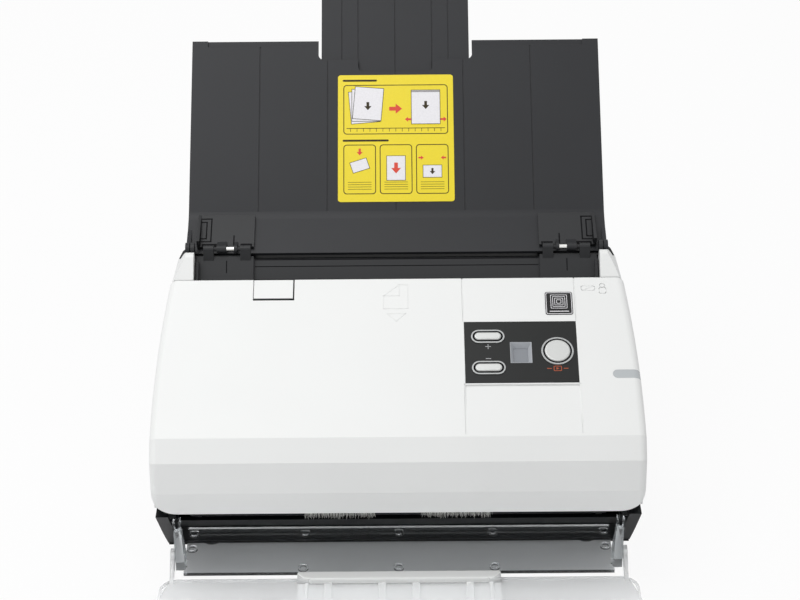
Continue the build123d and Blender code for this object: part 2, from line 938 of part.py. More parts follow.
# Anti-static brushes under the lip: three rows of strands in a backing strip
brush_bottom_z = brush_top_z - brush_back_height
for name, centre in (("left_exit_brush", -brush_inner - brush_length / 2),
                     ("right_exit_brush", brush_inner + brush_length / 2)):
    with BuildPart() as brush:
        with BuildSketch(level(brush_bottom_z)):
            with Locations((centre, brush_y)):
                Rectangle(brush_length, 2 * (strand_row_pitch + brush_margin))
        extrude(amount=brush_back_height)
        with BuildSketch(level(brush_bottom_z - strand_length)):
            with Locations((centre, brush_y)):
                with GridLocations((brush_length - 2 * brush_margin) / (strand_columns - 1),
                                   strand_row_pitch, strand_columns, strand_rows):
                    Rectangle(strand_width, strand_width)
        extrude(amount=strand_length)
    save(brush, name)

# Upper scan module and its glass
with BuildPart() as upper_scan_module:
    add(slab(path, -scan_module_half, scan_module_half, upper_scan_s - scan_module_length / 2,
             upper_scan_s + scan_module_length / 2, path_gap + wall, path_gap + wall + scan_module_height))
save(upper_scan_module, "upper_scan_module")
with BuildPart() as upper_scan_glass:
    add(slab(path, -scan_half, scan_half, upper_scan_s - scan_glass_length / 2,
             upper_scan_s + scan_glass_length / 2, path_gap, path_gap + wall))
save(upper_scan_glass, "upper_scan_glass")

# Separation arm on its pins, with its rubber pad over the feed tyres
with BuildPart() as separation_arm:
    arm_root = pad_out + pad_thickness
    add(prism(-arm_half, arm_half, (pad_bottom_s, arm_root), (pad_top_s, arm_root),
              *[(arm_pivot_s + up, arm_pivot_out + out) for up, out in arm_corners],
              (pad_bottom_s, arm_root + arm_thickness), place=path_point))
    add(rod(-arm_bracket_outer, arm_bracket_outer, arm_axis, arm_pin_radius))
save(separation_arm, "separation_arm")
with BuildPart() as separation_pad:
    add(slab(path, -arm_half, arm_half, pad_bottom_s + pad_inset, pad_top_s, pad_out, arm_root))
save(separation_pad, "separation_pad")

# Exit pinch rollers on one shaft
with BuildPart() as pinch_rollers:
    add(rod(-pinch_shaft_half, pinch_shaft_half, pinch_axis, pinch_shaft_radius))
    for x in exit_tyre_xs:
        add(rod(x - exit_tyre_width / 2, x + exit_tyre_width / 2, pinch_axis, pinch_radius))
save(pinch_rollers, "pinch_rollers")

# Release button and the latch bar that its foot presses
release_front_s = release_bottom + release_gap_front
lever_left, lever_right = lever_x - lever_width / 2, lever_x + lever_width / 2
with BuildPart() as release_button:
    add(slab(panel, release_left + release_gap_left, release_right - release_gap_right,
             release_front_s, panel_length - release_gap_rear, -wall, 0))
    add(slab(panel, lever_left, lever_right, release_front_s, release_front_s + release_arm_width,
             -release_arm_depth, -wall))
    add(slab(panel, lever_left, lever_right, lever_tip_s, release_front_s + release_arm_width,
             -release_arm_depth, release_arm_thickness - release_arm_depth))
    add(slab(panel, lever_left, lever_right, lever_tip_s, lever_tip_s + release_foot_width,
             -release_foot_depth, -release_arm_depth))
save(release_button, "release_button")
hook_tilt = degrees(atan2(catch_z - latch_axis[1], catch_y - latch_axis[0]))
with BuildPart() as latch_bar:
    add(rod(-hook_outer, hook_outer, latch_axis, latch_radius))
    add(prism(lever_left, lever_right, (lever_tip_s, -release_foot_depth - latch_play),
              (latch_s, -release_foot_depth - latch_play), (latch_s, -latch_depth - lever_heel),
              (lever_tip_s, -latch_depth - lever_toe), place=panel_point))
    for x in (-hook_outer, hook_outer - hook_width):
        with BuildSketch(side(x)):
            Polygon(off_line(latch_axis, hook_tilt, 0, -hook_root_half),
                    off_line(latch_axis, hook_tilt, hook_reach, -hook_tip_half),
                    off_line(latch_axis, hook_tilt, hook_reach, hook_tip_half),
                    off_line(latch_axis, hook_tilt, 0, hook_root_half), align=None)
        extrude(amount=hook_width)
save(latch_bar, "latch_bar")
# Lower paper guide: the ramp that the sheets slide down, with its windows, slots and hinge cheeks
feed_axis = path_point(feed_s, feed_proud - feed_radius)
exit_axis = path_point(exit_s, exit_proud - exit_radius)
sensor_axis = path_point(sensor_s, sensor_out)
motor_axis = (motor_y, motor_z)
rack_gap = rack_module * pinion_teeth / 2
sensor_half = sensor_width / 2
sensor_bracket_outer = sensor_half + sensor_bracket_gap + sensor_bracket_width


def ramp_window(x0, x1, s0, s1):
    """What a window through the ramp takes out."""
    return slab(path, x0, x1, s0, s1, -guide_thickness - overcut, overcut)


with BuildPart() as lower_paper_guide:
    add(slab(path, -guide_half, guide_half, guide_bottom_s, guide_top_s, -guide_thickness, 0))
    add(slab(path, -cheek_outer, cheek_outer, cheek_bottom_s, guide_top_s, -guide_thickness, 0))
    for x in (-cheek_outer, cheek_outer - cheek_width):
        add(prism(x, x + cheek_width, (cheek_bottom_s, -guide_thickness),
                  (guide_top_s + cheek_toe, -guide_thickness),
                  (hinge_s - ear_diagonal, hinge_out - ear_diagonal), (hinge_s, hinge_out),
                  (hinge_s - ear_diagonal, hinge_out + ear_diagonal),
                  (cheek_bottom_s, cheek_front_height), place=path_point))
        add(rod(x, x + cheek_width, chute_hinge, ear_radius))
    tyre_window_half = exit_tyre_width / 2 + tyre_window_gap
    for x in exit_tyre_xs:
        add(ramp_window(x - tyre_window_half, x + tyre_window_half, exit_s - exit_window,
                        exit_s + exit_window), mode=Mode.SUBTRACT)
    feed_window_half = feed_tyre_x + feed_tyre_width / 2 + feed_window_gap
    add(ramp_window(-feed_window_half, feed_window_half, feed_s - feed_window, feed_s + feed_window),
        mode=Mode.SUBTRACT)
    add(ramp_window(-scan_half, scan_half, lower_scan_s - scan_glass_length / 2,
                    lower_scan_s + scan_glass_length / 2), mode=Mode.SUBTRACT)
    add(ramp_window(sensor_x - sensor_half - sensor_slot_gap, sensor_x + sensor_half + sensor_slot_gap,
                    sensor_slot_bottom, sensor_slot_top), mode=Mode.SUBTRACT)
    for x in (sensor_x - sensor_bracket_outer, sensor_x + sensor_half + sensor_bracket_gap):
        add(prism(x, x + sensor_bracket_width, (sensor_s - sensor_bracket_foot, -guide_thickness),
                  (sensor_s + sensor_bracket_foot, -guide_thickness),
                  (sensor_s + sensor_bracket_tip, sensor_out - sensor_bracket_tip),
                  (sensor_s - sensor_bracket_tip, sensor_out - sensor_bracket_tip), place=path_point))
    slot_low, slot_high = rack_foot_low - clearance, rack_foot_high + clearance
    add(ramp_window(-rack_slot_outer, -rack_slot_inner, rack_s + slot_low, rack_s + slot_high),
        mode=Mode.SUBTRACT)
    add(ramp_window(rack_slot_inner, rack_slot_outer, rack_s - slot_high, rack_s - slot_low),
        mode=Mode.SUBTRACT)
    add(post(path, 0, rack_s, pinion_post_radius, rack_low - clearance, -guide_thickness))
    add(post(path, 0, rack_s, pinion_post_radius + pinion_washer_rise, rack_low - clearance - pinion_washer,
             rack_low - clearance))
    add(rod(-cheek_outer, cheek_outer, chute_hinge, hinge_pin_bore), mode=Mode.SUBTRACT)
    add(rod(sensor_x - sensor_bracket_outer - overcut, sensor_x + sensor_bracket_outer + overcut,
            sensor_axis, sensor_pin_radius + running_fit), mode=Mode.SUBTRACT)
save(lower_paper_guide, "lower_paper_guide")

# Steel side frames with the studs of the cover hinge and the latch
for name, inner, outer, stud_x, catch_x in (
        ("left_side_frame", -frame_inner, -frame_outer, -boss_outer - stud_spare, -hook_outer - catch_spare),
        ("right_side_frame", frame_inner, frame_outer, boss_outer + stud_spare, hook_outer + catch_spare)):
    with BuildPart() as side_frame:
        add(prism(inner, outer, (hinge_y, hinge_z + ear_radius), *frame_top_points, *frame_bottom_points,
                  (hinge_y, hinge_z - ear_radius)))
        add(rod(inner, outer, hinge, ear_radius))
        add(rod(inner, stud_x, hinge, hinge_pin_radius))
        add(rod(inner, catch_x, (catch_y, catch_z), hinge_pin_radius))
        for axis in (feed_axis, exit_axis):
            add(rod(inner, outer, axis, bushing_radius), mode=Mode.SUBTRACT)
        if inner < 0:
            add(rod(inner, outer, motor_axis, motor_boss_radius + clearance), mode=Mode.SUBTRACT)
    save(side_frame, name)

# Bushings of the two driven shafts
with BuildPart() as roller_bushings:
    for axis in (feed_axis, exit_axis):
        add(rod(frame_inner, bushing_outer, axis, bushing_radius, shaft_radius + running_fit))
        add(rod(frame_outer, frame_outer + bushing_flange, axis, bushing_flange_radius,
                shaft_radius + running_fit))
    mirror(about=Plane.YZ)
save(roller_bushings, "roller_bushings")

# Driven shafts and their rubber tyres
for name, axis in (("feed_shaft", feed_axis), ("exit_shaft", exit_axis)):
    with BuildPart() as shaft:
        add(rod(shaft_left, shaft_right, axis, shaft_radius))
    save(shaft, name)
with BuildPart() as feed_tyres:
    for x in (-feed_tyre_x, feed_tyre_x):
        add(rod(x - feed_tyre_width / 2, x + feed_tyre_width / 2, feed_axis, feed_radius, shaft_radius))
save(feed_tyres, "feed_tyres")
with BuildPart() as exit_tyres:
    for x in exit_tyre_xs:
        add(rod(x - exit_tyre_width / 2, x + exit_tyre_width / 2, exit_axis, exit_radius, shaft_radius))
save(exit_tyres, "exit_tyres")

# Drive: motor, three flanged pulleys and the flat belt round them
with BuildPart() as drive_motor:
    add(rod(motor_right, motor_flange - frame_inner, motor_axis, motor_radius))
    add(slab(level(0), -frame_inner, motor_flange - frame_inner, motor_y - motor_radius,
             motor_y + motor_radius, motor_z - motor_radius, motor_z + motor_radius))
    add(rod(-frame_outer - motor_boss_proud, -frame_inner, motor_axis, motor_boss_radius))
    add(rod(shaft_left, -frame_outer, motor_axis, stub_radius))
save(drive_motor, "drive_motor")
stub_bore = stub_radius + running_fit
for name, axis, radius, bore in (("feed_pulley", feed_axis, feed_pulley_radius, shaft_radius),
                                 ("exit_pulley", exit_axis, exit_pulley_radius, shaft_radius),
                                 ("motor_pulley", motor_axis, motor_pulley_radius, stub_bore)):
    with BuildPart() as pulley:
        for x in (belt_x - pulley_width / 2, belt_x + pulley_width / 2 - pulley_flange):
            add(rod(x, x + pulley_flange, axis, radius + pulley_flange_rise, bore))
        add(rod(belt_x - pulley_width / 2, belt_x + pulley_width / 2, axis, radius, bore))
    save(pulley, name)
belt_half = pulley_width / 2 - pulley_flange - belt_gap
with BuildPart() as drive_belt:
    for rise, mode in ((belt_gap + belt_thickness, Mode.ADD), (belt_gap, Mode.SUBTRACT)):
        with BuildSketch(side(belt_x - belt_half)):
            for axis, radius in ((feed_axis, feed_pulley_radius), (exit_axis, exit_pulley_radius),
                                 (motor_axis, motor_pulley_radius)):
                with Locations(axis):
                    Circle(radius + rise)
            make_hull()
        extrude(amount=2 * belt_half, mode=mode)
save(drive_belt, "drive_belt")

# Paper sensor lever
with BuildPart() as paper_sensor_lever:
    add(prism(sensor_x - sensor_half, sensor_x + sensor_half,
              *[(sensor_s + up, out) for up, out in sensor_flag],
              *[(sensor_s + up, sensor_out + out) for up, out in sensor_heel], place=path_point))
    add(rod(sensor_x - sensor_bracket_outer, sensor_x + sensor_bracket_outer, sensor_axis,
            sensor_pin_radius))
save(paper_sensor_lever, "paper_sensor_lever")

# Lower scan module and its glass, flush with the ramp
with BuildPart() as lower_scan_module:
    add(slab(path, -scan_module_half, scan_module_half, lower_scan_s - scan_module_length / 2,
             lower_scan_s + scan_module_length / 2, -guide_thickness - scan_module_height, -guide_thickness))
save(lower_scan_module, "lower_scan_module")
with BuildPart() as lower_scan_glass:
    add(slab(path, -scan_half, scan_half, lower_scan_s - scan_glass_length / 2,
             lower_scan_s + scan_glass_length / 2, -guide_thickness, 0))
save(lower_scan_glass, "lower_scan_glass")


def involute(angle):
    return tan(angle) - angle


def pinion_flank(radius):
    """Half the angle of a pinion tooth at a radius, on an involute at or outside the base circle."""
    pressure = radians(pressure_angle)
    base = rack_gap * cos(pressure)
    grip = acos(min(1.0, base / radius))
    return tooth_width / (2 * rack_gap) + involute(pressure) - involute(grip)


def rack_bar(x0, x1, phase):
    """A rack's outline, teeth towards -y of the sketch, whose pitch line is y = 0."""
    pitch = pi * rack_module
    lean = tan(radians(pressure_angle))
    first = ceil((x0 - phase) / pitch + 0.5)
    last = floor((x1 - phase) / pitch - 0.5)
    corners = [(x1, rack_foot_high - rack_gap), (x0, rack_foot_high - rack_gap), (x0, rack_root)]
    for n in range(first, last + 1):
        middle = phase + n * pitch
        root_half = tooth_width / 2 + rack_root * lean
        tip_half = tooth_width / 2 - rack_tip * lean
        corners += [(middle - root_half, rack_root), (middle - tip_half, -rack_tip),
                    (middle + tip_half, -rack_tip), (middle + root_half, rack_root)]
    corners.append((x1, rack_root))
    with BuildSketch() as bar:
        Polygon(*corners, align=None)
    return bar.sketch


# Pinion that makes the two guides move together
with BuildSketch() as gear:
    Circle(pinion_root)
    for n in range(pinion_teeth):
        middle = radians(90) + (n + 0.5) * 2 * pi / pinion_teeth
        radii = [rack_gap * cos(radians(pressure_angle)), rack_gap, (rack_gap + pinion_tip) / 2, pinion_tip]
        flank = [(r, pinion_flank(r)) for r in radii]
        flank.insert(0, (pinion_root - clearance, flank[0][1]))
        left = [(r * cos(middle + a), r * sin(middle + a)) for r, a in flank]
        right = [(r * cos(middle - a), r * sin(middle - a)) for r, a in reversed(flank)]
        Polygon(*left, *right, align=None)
    Circle(pinion_post_radius + running_fit, mode=Mode.SUBTRACT)
with BuildPart() as guide_pinion:
    with BuildSketch(path.offset(rack_low)):
        with Locations((0, rack_s)):
            add(gear.sketch)
    extrude(amount=rack_high - rack_low)
save(guide_pinion, "guide_pinion")


# Document guides: a sliding lower plate with a fin and a rack, and a flap that folds with the chute
def lower_guide(x_sign, rack_sign, phase):
    """One guide's lower part; its rack lies up or down the ramp from the pinion."""
    plate_bottom_s = rack_s - guide_low
    plate_top = guide_plate_lift + guide_plate_thickness
    knuckle_diagonal = knuckle_radius * sin(radians(45))
    with BuildPart() as guide:
        inner, outer = sorted((x_sign * guide_plate_inner, x_sign * guide_plate_outer))
        add(slab(path, inner, outer, plate_bottom_s, guide_plate_top_s, guide_plate_lift, plate_top))
        fin_x = min(x_sign * guide_plate_outer, x_sign * (guide_plate_outer - guide_fin_thickness))
        fin_start = plate_bottom_s + guide_fin_start
        fin_end = guide_plate_top_s - guide_fin_end
        add(prism(fin_x, fin_x + guide_fin_thickness, (fin_start, guide_plate_lift),
                  (fin_end, guide_plate_lift), (fin_end - guide_fin_end_slope, guide_fin_height),
                  (fin_start + guide_fin_slope, guide_fin_height), place=path_point))
        for knuckle_inner, knuckle_outer in guide_knuckles:
            x0, x1 = sorted((x_sign * knuckle_inner, x_sign * knuckle_outer))
            add(prism(x0, x1, (guide_plate_top_s - knuckle_root, guide_plate_lift),
                      (guide_plate_top_s - knuckle_root, plate_top),
                      (hinge_s - knuckle_diagonal, hinge_out + knuckle_diagonal),
                      (hinge_s + knuckle_diagonal, hinge_out - knuckle_diagonal),
                      (hinge_s - knuckle_radius, guide_plate_lift), place=path_point))
            add(rod(x0, x1, chute_hinge, knuckle_radius))
        x0, x1 = sorted((x_sign * guide_knuckles[0][0], x_sign * guide_knuckles[1][1]))
        add(rod(x0, x1, chute_hinge, knuckle_pin_radius))
        foot_low, foot_high = sorted((rack_sign * rack_foot_low, rack_sign * rack_foot_high))
        x0, x1 = sorted((x_sign * rack_foot_inner, x_sign * rack_foot_outer))
        add(slab(path, x0, x1, rack_s + foot_low, rack_s + foot_high, rack_high, guide_plate_lift))
        x0, x1 = sorted((x_sign * rack_foot_outer, -x_sign * rack_reach))
        with BuildSketch(path.offset(rack_low)):
            bar = rack_bar(x0, x1, phase).moved(Location((0, rack_gap, 0)))
            if rack_sign < 0:
                bar = bar.mirror(Plane.XZ)
            add(bar.moved(Location((0, rack_s, 0))))
        extrude(amount=rack_high - rack_low)
    return guide.part


def upper_flap(x_sign):
    """One guide's upper part, from its knuckle up over the chute's foot."""
    low = flap_lift - chute_drop
    high = low + flap_thickness
    knuckle_diagonal = knuckle_radius * sin(radians(45))
    with BuildPart() as flap:
        inner, outer = sorted((x_sign * guide_plate_inner, x_sign * guide_plate_outer))
        add(slab(chute_foot, inner, outer, flap_start, flap_plate_end, low, high))
        fin_x = min(x_sign * guide_plate_outer, x_sign * (guide_plate_outer - guide_fin_thickness))
        add(prism(fin_x, fin_x + guide_fin_thickness, (flap_start, low), (flap_start, flap_fin_height),
                  (flap_fin_end, high), (flap_fin_end, low), place=foot_point))
        for knuckle_inner, knuckle_outer in flap_knuckles:
            x0, x1 = sorted((x_sign * knuckle_inner, x_sign * knuckle_outer))
            add(prism(x0, x1, (-knuckle_diagonal, -knuckle_diagonal), (knuckle_diagonal, knuckle_diagonal),
                      (flap_knuckle_reach, high), (flap_knuckle_reach, low), (flap_start, low),
                      place=foot_point))
            add(rod(x0, x1, chute_hinge, knuckle_radius))
        add(rod(inner, outer, chute_hinge, knuckle_pin_radius + running_fit), mode=Mode.SUBTRACT)
    return flap.part


for name, x_sign, rack_sign, phase in (("left_guide", -1, 1, 0.0),
                                       ("right_guide", 1, -1, pi * rack_module / 2)):
    with BuildPart() as guide:
        add(lower_guide(x_sign, rack_sign, phase))
    save(guide, name)
    with BuildPart() as flap:
        add(upper_flap(x_sign))
    save(flap, name + "_flap")


# Paper chute: a folded plate with side ears, flanges and the rails of its extension
def chute_profile(bend_radius):
    """The side view of the plate, with its bend rounded."""
    half_turn = (chute_tilt - chute_foot_tilt) / 2
    under = off_line(chute_bend, chute_foot_tilt + half_turn, 0, -chute_thickness / cos(radians(half_turn)))
    with BuildSketch() as profile:
        Polygon(foot_point(0, -chute_drop), chute_bend, chute_point(chute_length),
                chute_point(chute_length, -chute_thickness), under,
                foot_point(0, -chute_drop - chute_thickness), align=None)
        fillet(profile.vertices().sort_by_distance(Vector(*chute_bend))[0], bend_radius)
        fillet(profile.vertices().sort_by_distance(Vector(*under))[0], bend_radius + chute_thickness)
    return profile.sketch


def rim_notch():
    """The stepped notch that the extension slides through, rounded at its corners."""
    top = chute_length + spare
    with BuildSketch() as shape:
        Polygon((-notch_half_width, top), (-notch_half_width, notch_shoulder),
                (-tongue_half, notch_shoulder), (-tongue_half, notch_tongue), (tongue_half, notch_tongue),
                (tongue_half, notch_shoulder), (notch_half_width, notch_shoulder),
                (notch_half_width, top), align=None)
        fillet(shape.vertices().group_by(Axis.Y)[0], notch_corner)
        outer = [v for v in shape.vertices() if abs(v.X) > notch_half_width - overcut]
        fillet([v for v in outer if v.Y < chute_length], notch_corner)
    return shape.sketch


with BuildPart() as paper_chute:
    with BuildSketch(side(-chute_half)):
        add(chute_profile(chute_bend_radius))
    extrude(amount=2 * chute_half)
    add(slab(chute_face, chute_corner_width - chute_half, chute_half - chute_corner_width,
             chute_length - chute_rim, chute_length + overcut, -chute_rim_depth, overcut),
        mode=Mode.SUBTRACT)
    with BuildSketch(chute_face.offset(-chute_thickness - overcut)):
        add(rim_notch())
    extrude(amount=chute_thickness + 2 * overcut, mode=Mode.SUBTRACT)
    with BuildSketch(chute_face):
        for n in range(-2, 3):
            middle = n * chute_groove_pitch
            add(patch(middle - groove_width / 2, middle + groove_width / 2, chute_groove_start,
                      chute_length - chute_rim - clearance))
    extrude(amount=-groove_depth, mode=Mode.SUBTRACT)
    plate_low = -chute_drop - chute_thickness
    for sign in (-1, 1):
        x0, x1 = sorted((sign * chute_ear_inner, sign * chute_half))
        add(rod(x0, x1, chute_hinge, chute_ear_radius))
        add(prism(x0, x1, chute_ear_heel, (0, plate_low), (chute_ear_length, plate_low),
                  (chute_ear_length, -chute_drop),
                  (chute_ear_length - chute_ear_taper, chute_ear_rise - chute_drop),
                  chute_ear_step, chute_ear_top, place=foot_point))
        x0, x1 = sorted((sign * chute_pin_inner, sign * chute_half))
        add(rod(x0, x1, chute_hinge, chute_pin_radius))
        x0, x1 = sorted((sign * (chute_half - chute_flange_thickness), sign * chute_half))
        add(prism(x0, x1, (0, -chute_thickness), (chute_flange_ramp, -chute_flange_depth),
                  (chute_length - chute_flange_end, -chute_flange_depth), (chute_length, -chute_thickness),
                  place=chute_point))
        x0, x1 = sorted((sign * rail_inner, sign * rail_outer))
        add(slab(chute_face, x0, x1, rail_bottom, notch_shoulder, -rail_depth, -chute_thickness))
        x0, x1 = sorted((sign * rail_lip, sign * rail_outer))
        add(slab(chute_face, x0, x1, rail_bottom, notch_shoulder, -rail_depth,
                 -extension_top_depth - extension_thickness - clearance))
save(paper_chute, "paper_chute")

# Chute extension, a ribbed plate that slides out of the back of the chute
with BuildPart() as chute_extension:
    add(slab(chute_face, -extension_half, extension_half, extension_bottom, extension_top,
             -extension_top_depth - extension_thickness, -extension_top_depth))
    fillet(chute_extension.edges().filter_by(Axis((0, 0, 0), chute_face.z_dir)).sort_by(Axis.Z)[-2:],
           extension_corner)
    with BuildSketch(chute_face.offset(-extension_top_depth)):
        for x in extension_grooves:
            add(patch(x - groove_width / 2, x + groove_width / 2, extension_bottom + extension_groove_margin,
                      extension_top - extension_groove_margin))
    extrude(amount=-groove_depth, mode=Mode.SUBTRACT)
save(chute_extension, "chute_extension")

# Printed label on the chute
with BuildPart() as instruction_label:
    with BuildSketch(chute_face):
        with Locations((0, label_bottom + label_height / 2)):
            RectangleRounded(label_width, label_height, label_corner)
    extrude(amount=label_thickness)
save(instruction_label, "instruction_label")


def body_ring(y0, y1, low, high):
    """The body's outer wall between two y values and two heights."""
    with BuildPart() as ring:
        with BuildSketch(level(low)):
            add(outline(0))
            add(outline(wall), mode=Mode.SUBTRACT)
            add(patch(-body_half - spare, body_half + spare, y0, y1), mode=Mode.INTERSECT)
        extrude(amount=high - low)
    return ring.part


shoulder_front_y = cover_rear_y + parting_gap


def crown_cut(inset=0.0):
    """What the body leaves at its upper corners, where its sides lean in, or that grown by an inset."""
    far_x = body_half + 2 * spare
    far_z = shoulder_z + 2 * spare
    with BuildPart() as cut:
        with BuildSketch(upright(body_rear_y + spare)):
            with BuildLine():
                ThreePointArc(crown_top, crown_middle, crown_foot)
                Polyline(crown_foot, (far_x, crown_foot[1]), (far_x, far_z), (crown_top[0], far_z),
                         crown_top)
            make_face()
            if inset:
                offset(amount=inset, kind=Kind.INTERSECTION)
            mirror(about=Plane.YZ)
        extrude(amount=body_rear_y + spare - shoulder_front_y)
    return cut.part


def shoulder_form(inset=0.0):
    """The right shoulder's closed form, or its hollow, drawn in by an inset and open below."""
    base = shoulder_bottom_z - 4 * inset
    with BuildPart() as form:
        with BuildSketch(side(notch_half + inset)) as profile:
            Polygon((shoulder_front_y, base), (shoulder_front_y, panel_rear[1]),
                    (shoulder_peak_y, shoulder_z), (shoulder_rear_y, shoulder_z), (shoulder_rear_y, base),
                    align=None)
            if inset:
                offset(amount=-inset, kind=Kind.INTERSECTION)
            else:
                fillet(profile.sketch_local.vertices().group_by(Axis.Y)[-1], shoulder_crown_radius)
        extrude(amount=body_half)
        with BuildSketch(level(0)):
            add(outline(inset))
        extrude(amount=tall, mode=Mode.INTERSECT)
        add(crown_cut(inset), mode=Mode.SUBTRACT)
    return form.part


# Side covers: a wall up to the parting line, and behind it the shoulder that flanks the chute
with BuildPart() as side_covers:
    add(body_ring(side_cover_front_y, side_cover_rear_y, base_top_z, shoulder_z + spare))
    with BuildSketch(side(-body_half - spare)):
        Polygon((side_cover_front_y, base_top_z), (side_cover_rear_y, base_top_z),
                (side_cover_rear_y, rear_deck_z), (shoulder_front_y, rear_deck_z),
                (shoulder_front_y, parting_z(cover_rear_y) - parting_gap),
                (side_cover_front_y, parting_z(side_cover_front_y) - parting_gap), align=None)
    extrude(amount=2 * (body_half + spare), mode=Mode.INTERSECT)
    add(crown_cut(), mode=Mode.SUBTRACT)
with BuildPart() as shoulder:
    add(shoulder_form())
    add(shoulder_form(wall), mode=Mode.SUBTRACT)
for name, x_sign in (("left_side_cover", -1), ("right_side_cover", 1)):
    with BuildPart() as side_cover:
        add(side_covers.part)
        split(bisect_by=Plane.YZ, keep=Keep.TOP if x_sign > 0 else Keep.BOTTOM)
        add(shoulder.part if x_sign > 0 else shoulder.part.mirror(Plane.YZ))
    save(side_cover, name)

# Rear cover with its deck, vents and port cut-outs
with BuildPart() as rear_cover:
    rear_span = patch(-body_half - spare, body_half + spare, rear_cover_front_y, body_rear_y + spare)
    add(body_ring(rear_cover_front_y, body_rear_y + spare, base_top_z, rear_deck_z))
    for low in (base_top_z, rear_deck_z - wall):
        with BuildSketch(level(low)):
            add(outline(0))
            add(rear_span, mode=Mode.INTERSECT)
        extrude(amount=wall)
    for x in (board_left + board_post_inset, board_right - board_post_inset):
        for z in (board_bottom + board_post_inset, board_top - board_post_inset):
            add(post(upright(0), x, z, post_radius, -body_rear_y + wall / 2, -board_y - board_thickness))
    stop_height = -chute_drop - chute_thickness - clearance
    for x in (-rest_stop_x, rest_stop_x):
        add(prism(x - rest_stop_half, x + rest_stop_half, (board_y, rear_deck_z - rest_stop_sink),
                  (board_y + rest_stop_depth, rear_deck_z - rest_stop_sink),
                  foot_point(rest_stop_high, stop_height), foot_point(rest_stop_low, stop_height)))
    switch_bracket_x = switch_width / 2 + switch_bracket_gap
    bracket_front_y, bracket_rear_y = switch_pivot_y - switch_bracket_root, body_rear_y - overcut
    for x in (switch_x - switch_bracket_x - switch_bracket_width, switch_x + switch_bracket_x):
        add(prism(x, x + switch_bracket_width, (bracket_front_y, port_z - switch_bracket_root),
                  (bracket_rear_y, port_z - switch_bracket_spread),
                  (bracket_rear_y, port_z + switch_bracket_spread),
                  (bracket_front_y, port_z + switch_bracket_root)))
    pin_half = switch_bracket_x + switch_bracket_width
    add(rod(switch_x - pin_half - overcut, switch_x + pin_half + overcut, (switch_pivot_y, port_z),
            sensor_pin_radius + running_fit), mode=Mode.SUBTRACT)
    with BuildSketch(upright(body_rear_y + overcut)):
        for x, width, half_height in ((usb_x, usb_width, usb_height / 2 + clearance),
                                      (jack_x, jack_width, jack_height / 2 + clearance),
                                      (switch_x, switch_width, switch_hole_half)):
            add(patch(x - width / 2 - clearance, x + width / 2 + clearance,
                      port_z - half_height, port_z + half_height))
        with Locations((0, (vent_bottom + vent_top) / 2)):
            with GridLocations(vent_pitch, 1, vent_count, 1):
                SlotOverall(vent_top - vent_bottom, vent_width, rotation=90)
    extrude(amount=wall + 1.5 * overcut, mode=Mode.SUBTRACT)
    add(crown_cut(), mode=Mode.SUBTRACT)
save(rear_cover, "rear_cover")

# Main board with its two sockets
with BuildPart() as main_board:
    add(slab(upright(board_y), board_left, board_right, board_bottom, board_top, -board_thickness, 0))
save(main_board, "main_board")
socket_depth = body_rear_y - board_y - board_thickness
with BuildPart() as usb_port:
    with BuildSketch(upright(body_rear_y)):
        with Locations((usb_x, port_z)):
            Rectangle(usb_width, usb_height)
    extrude(amount=socket_depth)
    with BuildSketch(upright(body_rear_y)):
        with Locations((usb_x, port_z)):
            Rectangle(usb_width - 2 * socket_shell, usb_height - 2 * socket_shell)
            Rectangle(usb_tongue, usb_tongue / 2, mode=Mode.SUBTRACT)
    extrude(amount=socket_depth - socket_back, mode=Mode.SUBTRACT)
save(usb_port, "usb_port")
with BuildPart() as power_jack:
    with BuildSketch(upright(body_rear_y)):
        with Locations((jack_x, port_z)):
            Rectangle(jack_width, jack_height)
    extrude(amount=socket_depth)
    with BuildSketch(upright(body_rear_y)):
        with Locations((jack_x, port_z)):
            Circle(jack_bore_radius)
            Circle(jack_pin_radius, mode=Mode.SUBTRACT)
    extrude(amount=socket_depth - socket_back, mode=Mode.SUBTRACT)
save(power_jack, "power_jack")

# Rocker switch, resting with its upper end out
with BuildPart() as power_switch:
    add(prism(switch_x - switch_width / 2, switch_x + switch_width / 2,
              *[(switch_pivot_y + back, port_z + up) for back, up in switch_corners]))
    add(rod(switch_x - pin_half, switch_x + pin_half, (switch_pivot_y, port_z), sensor_pin_radius))
save(power_switch, "power_switch")

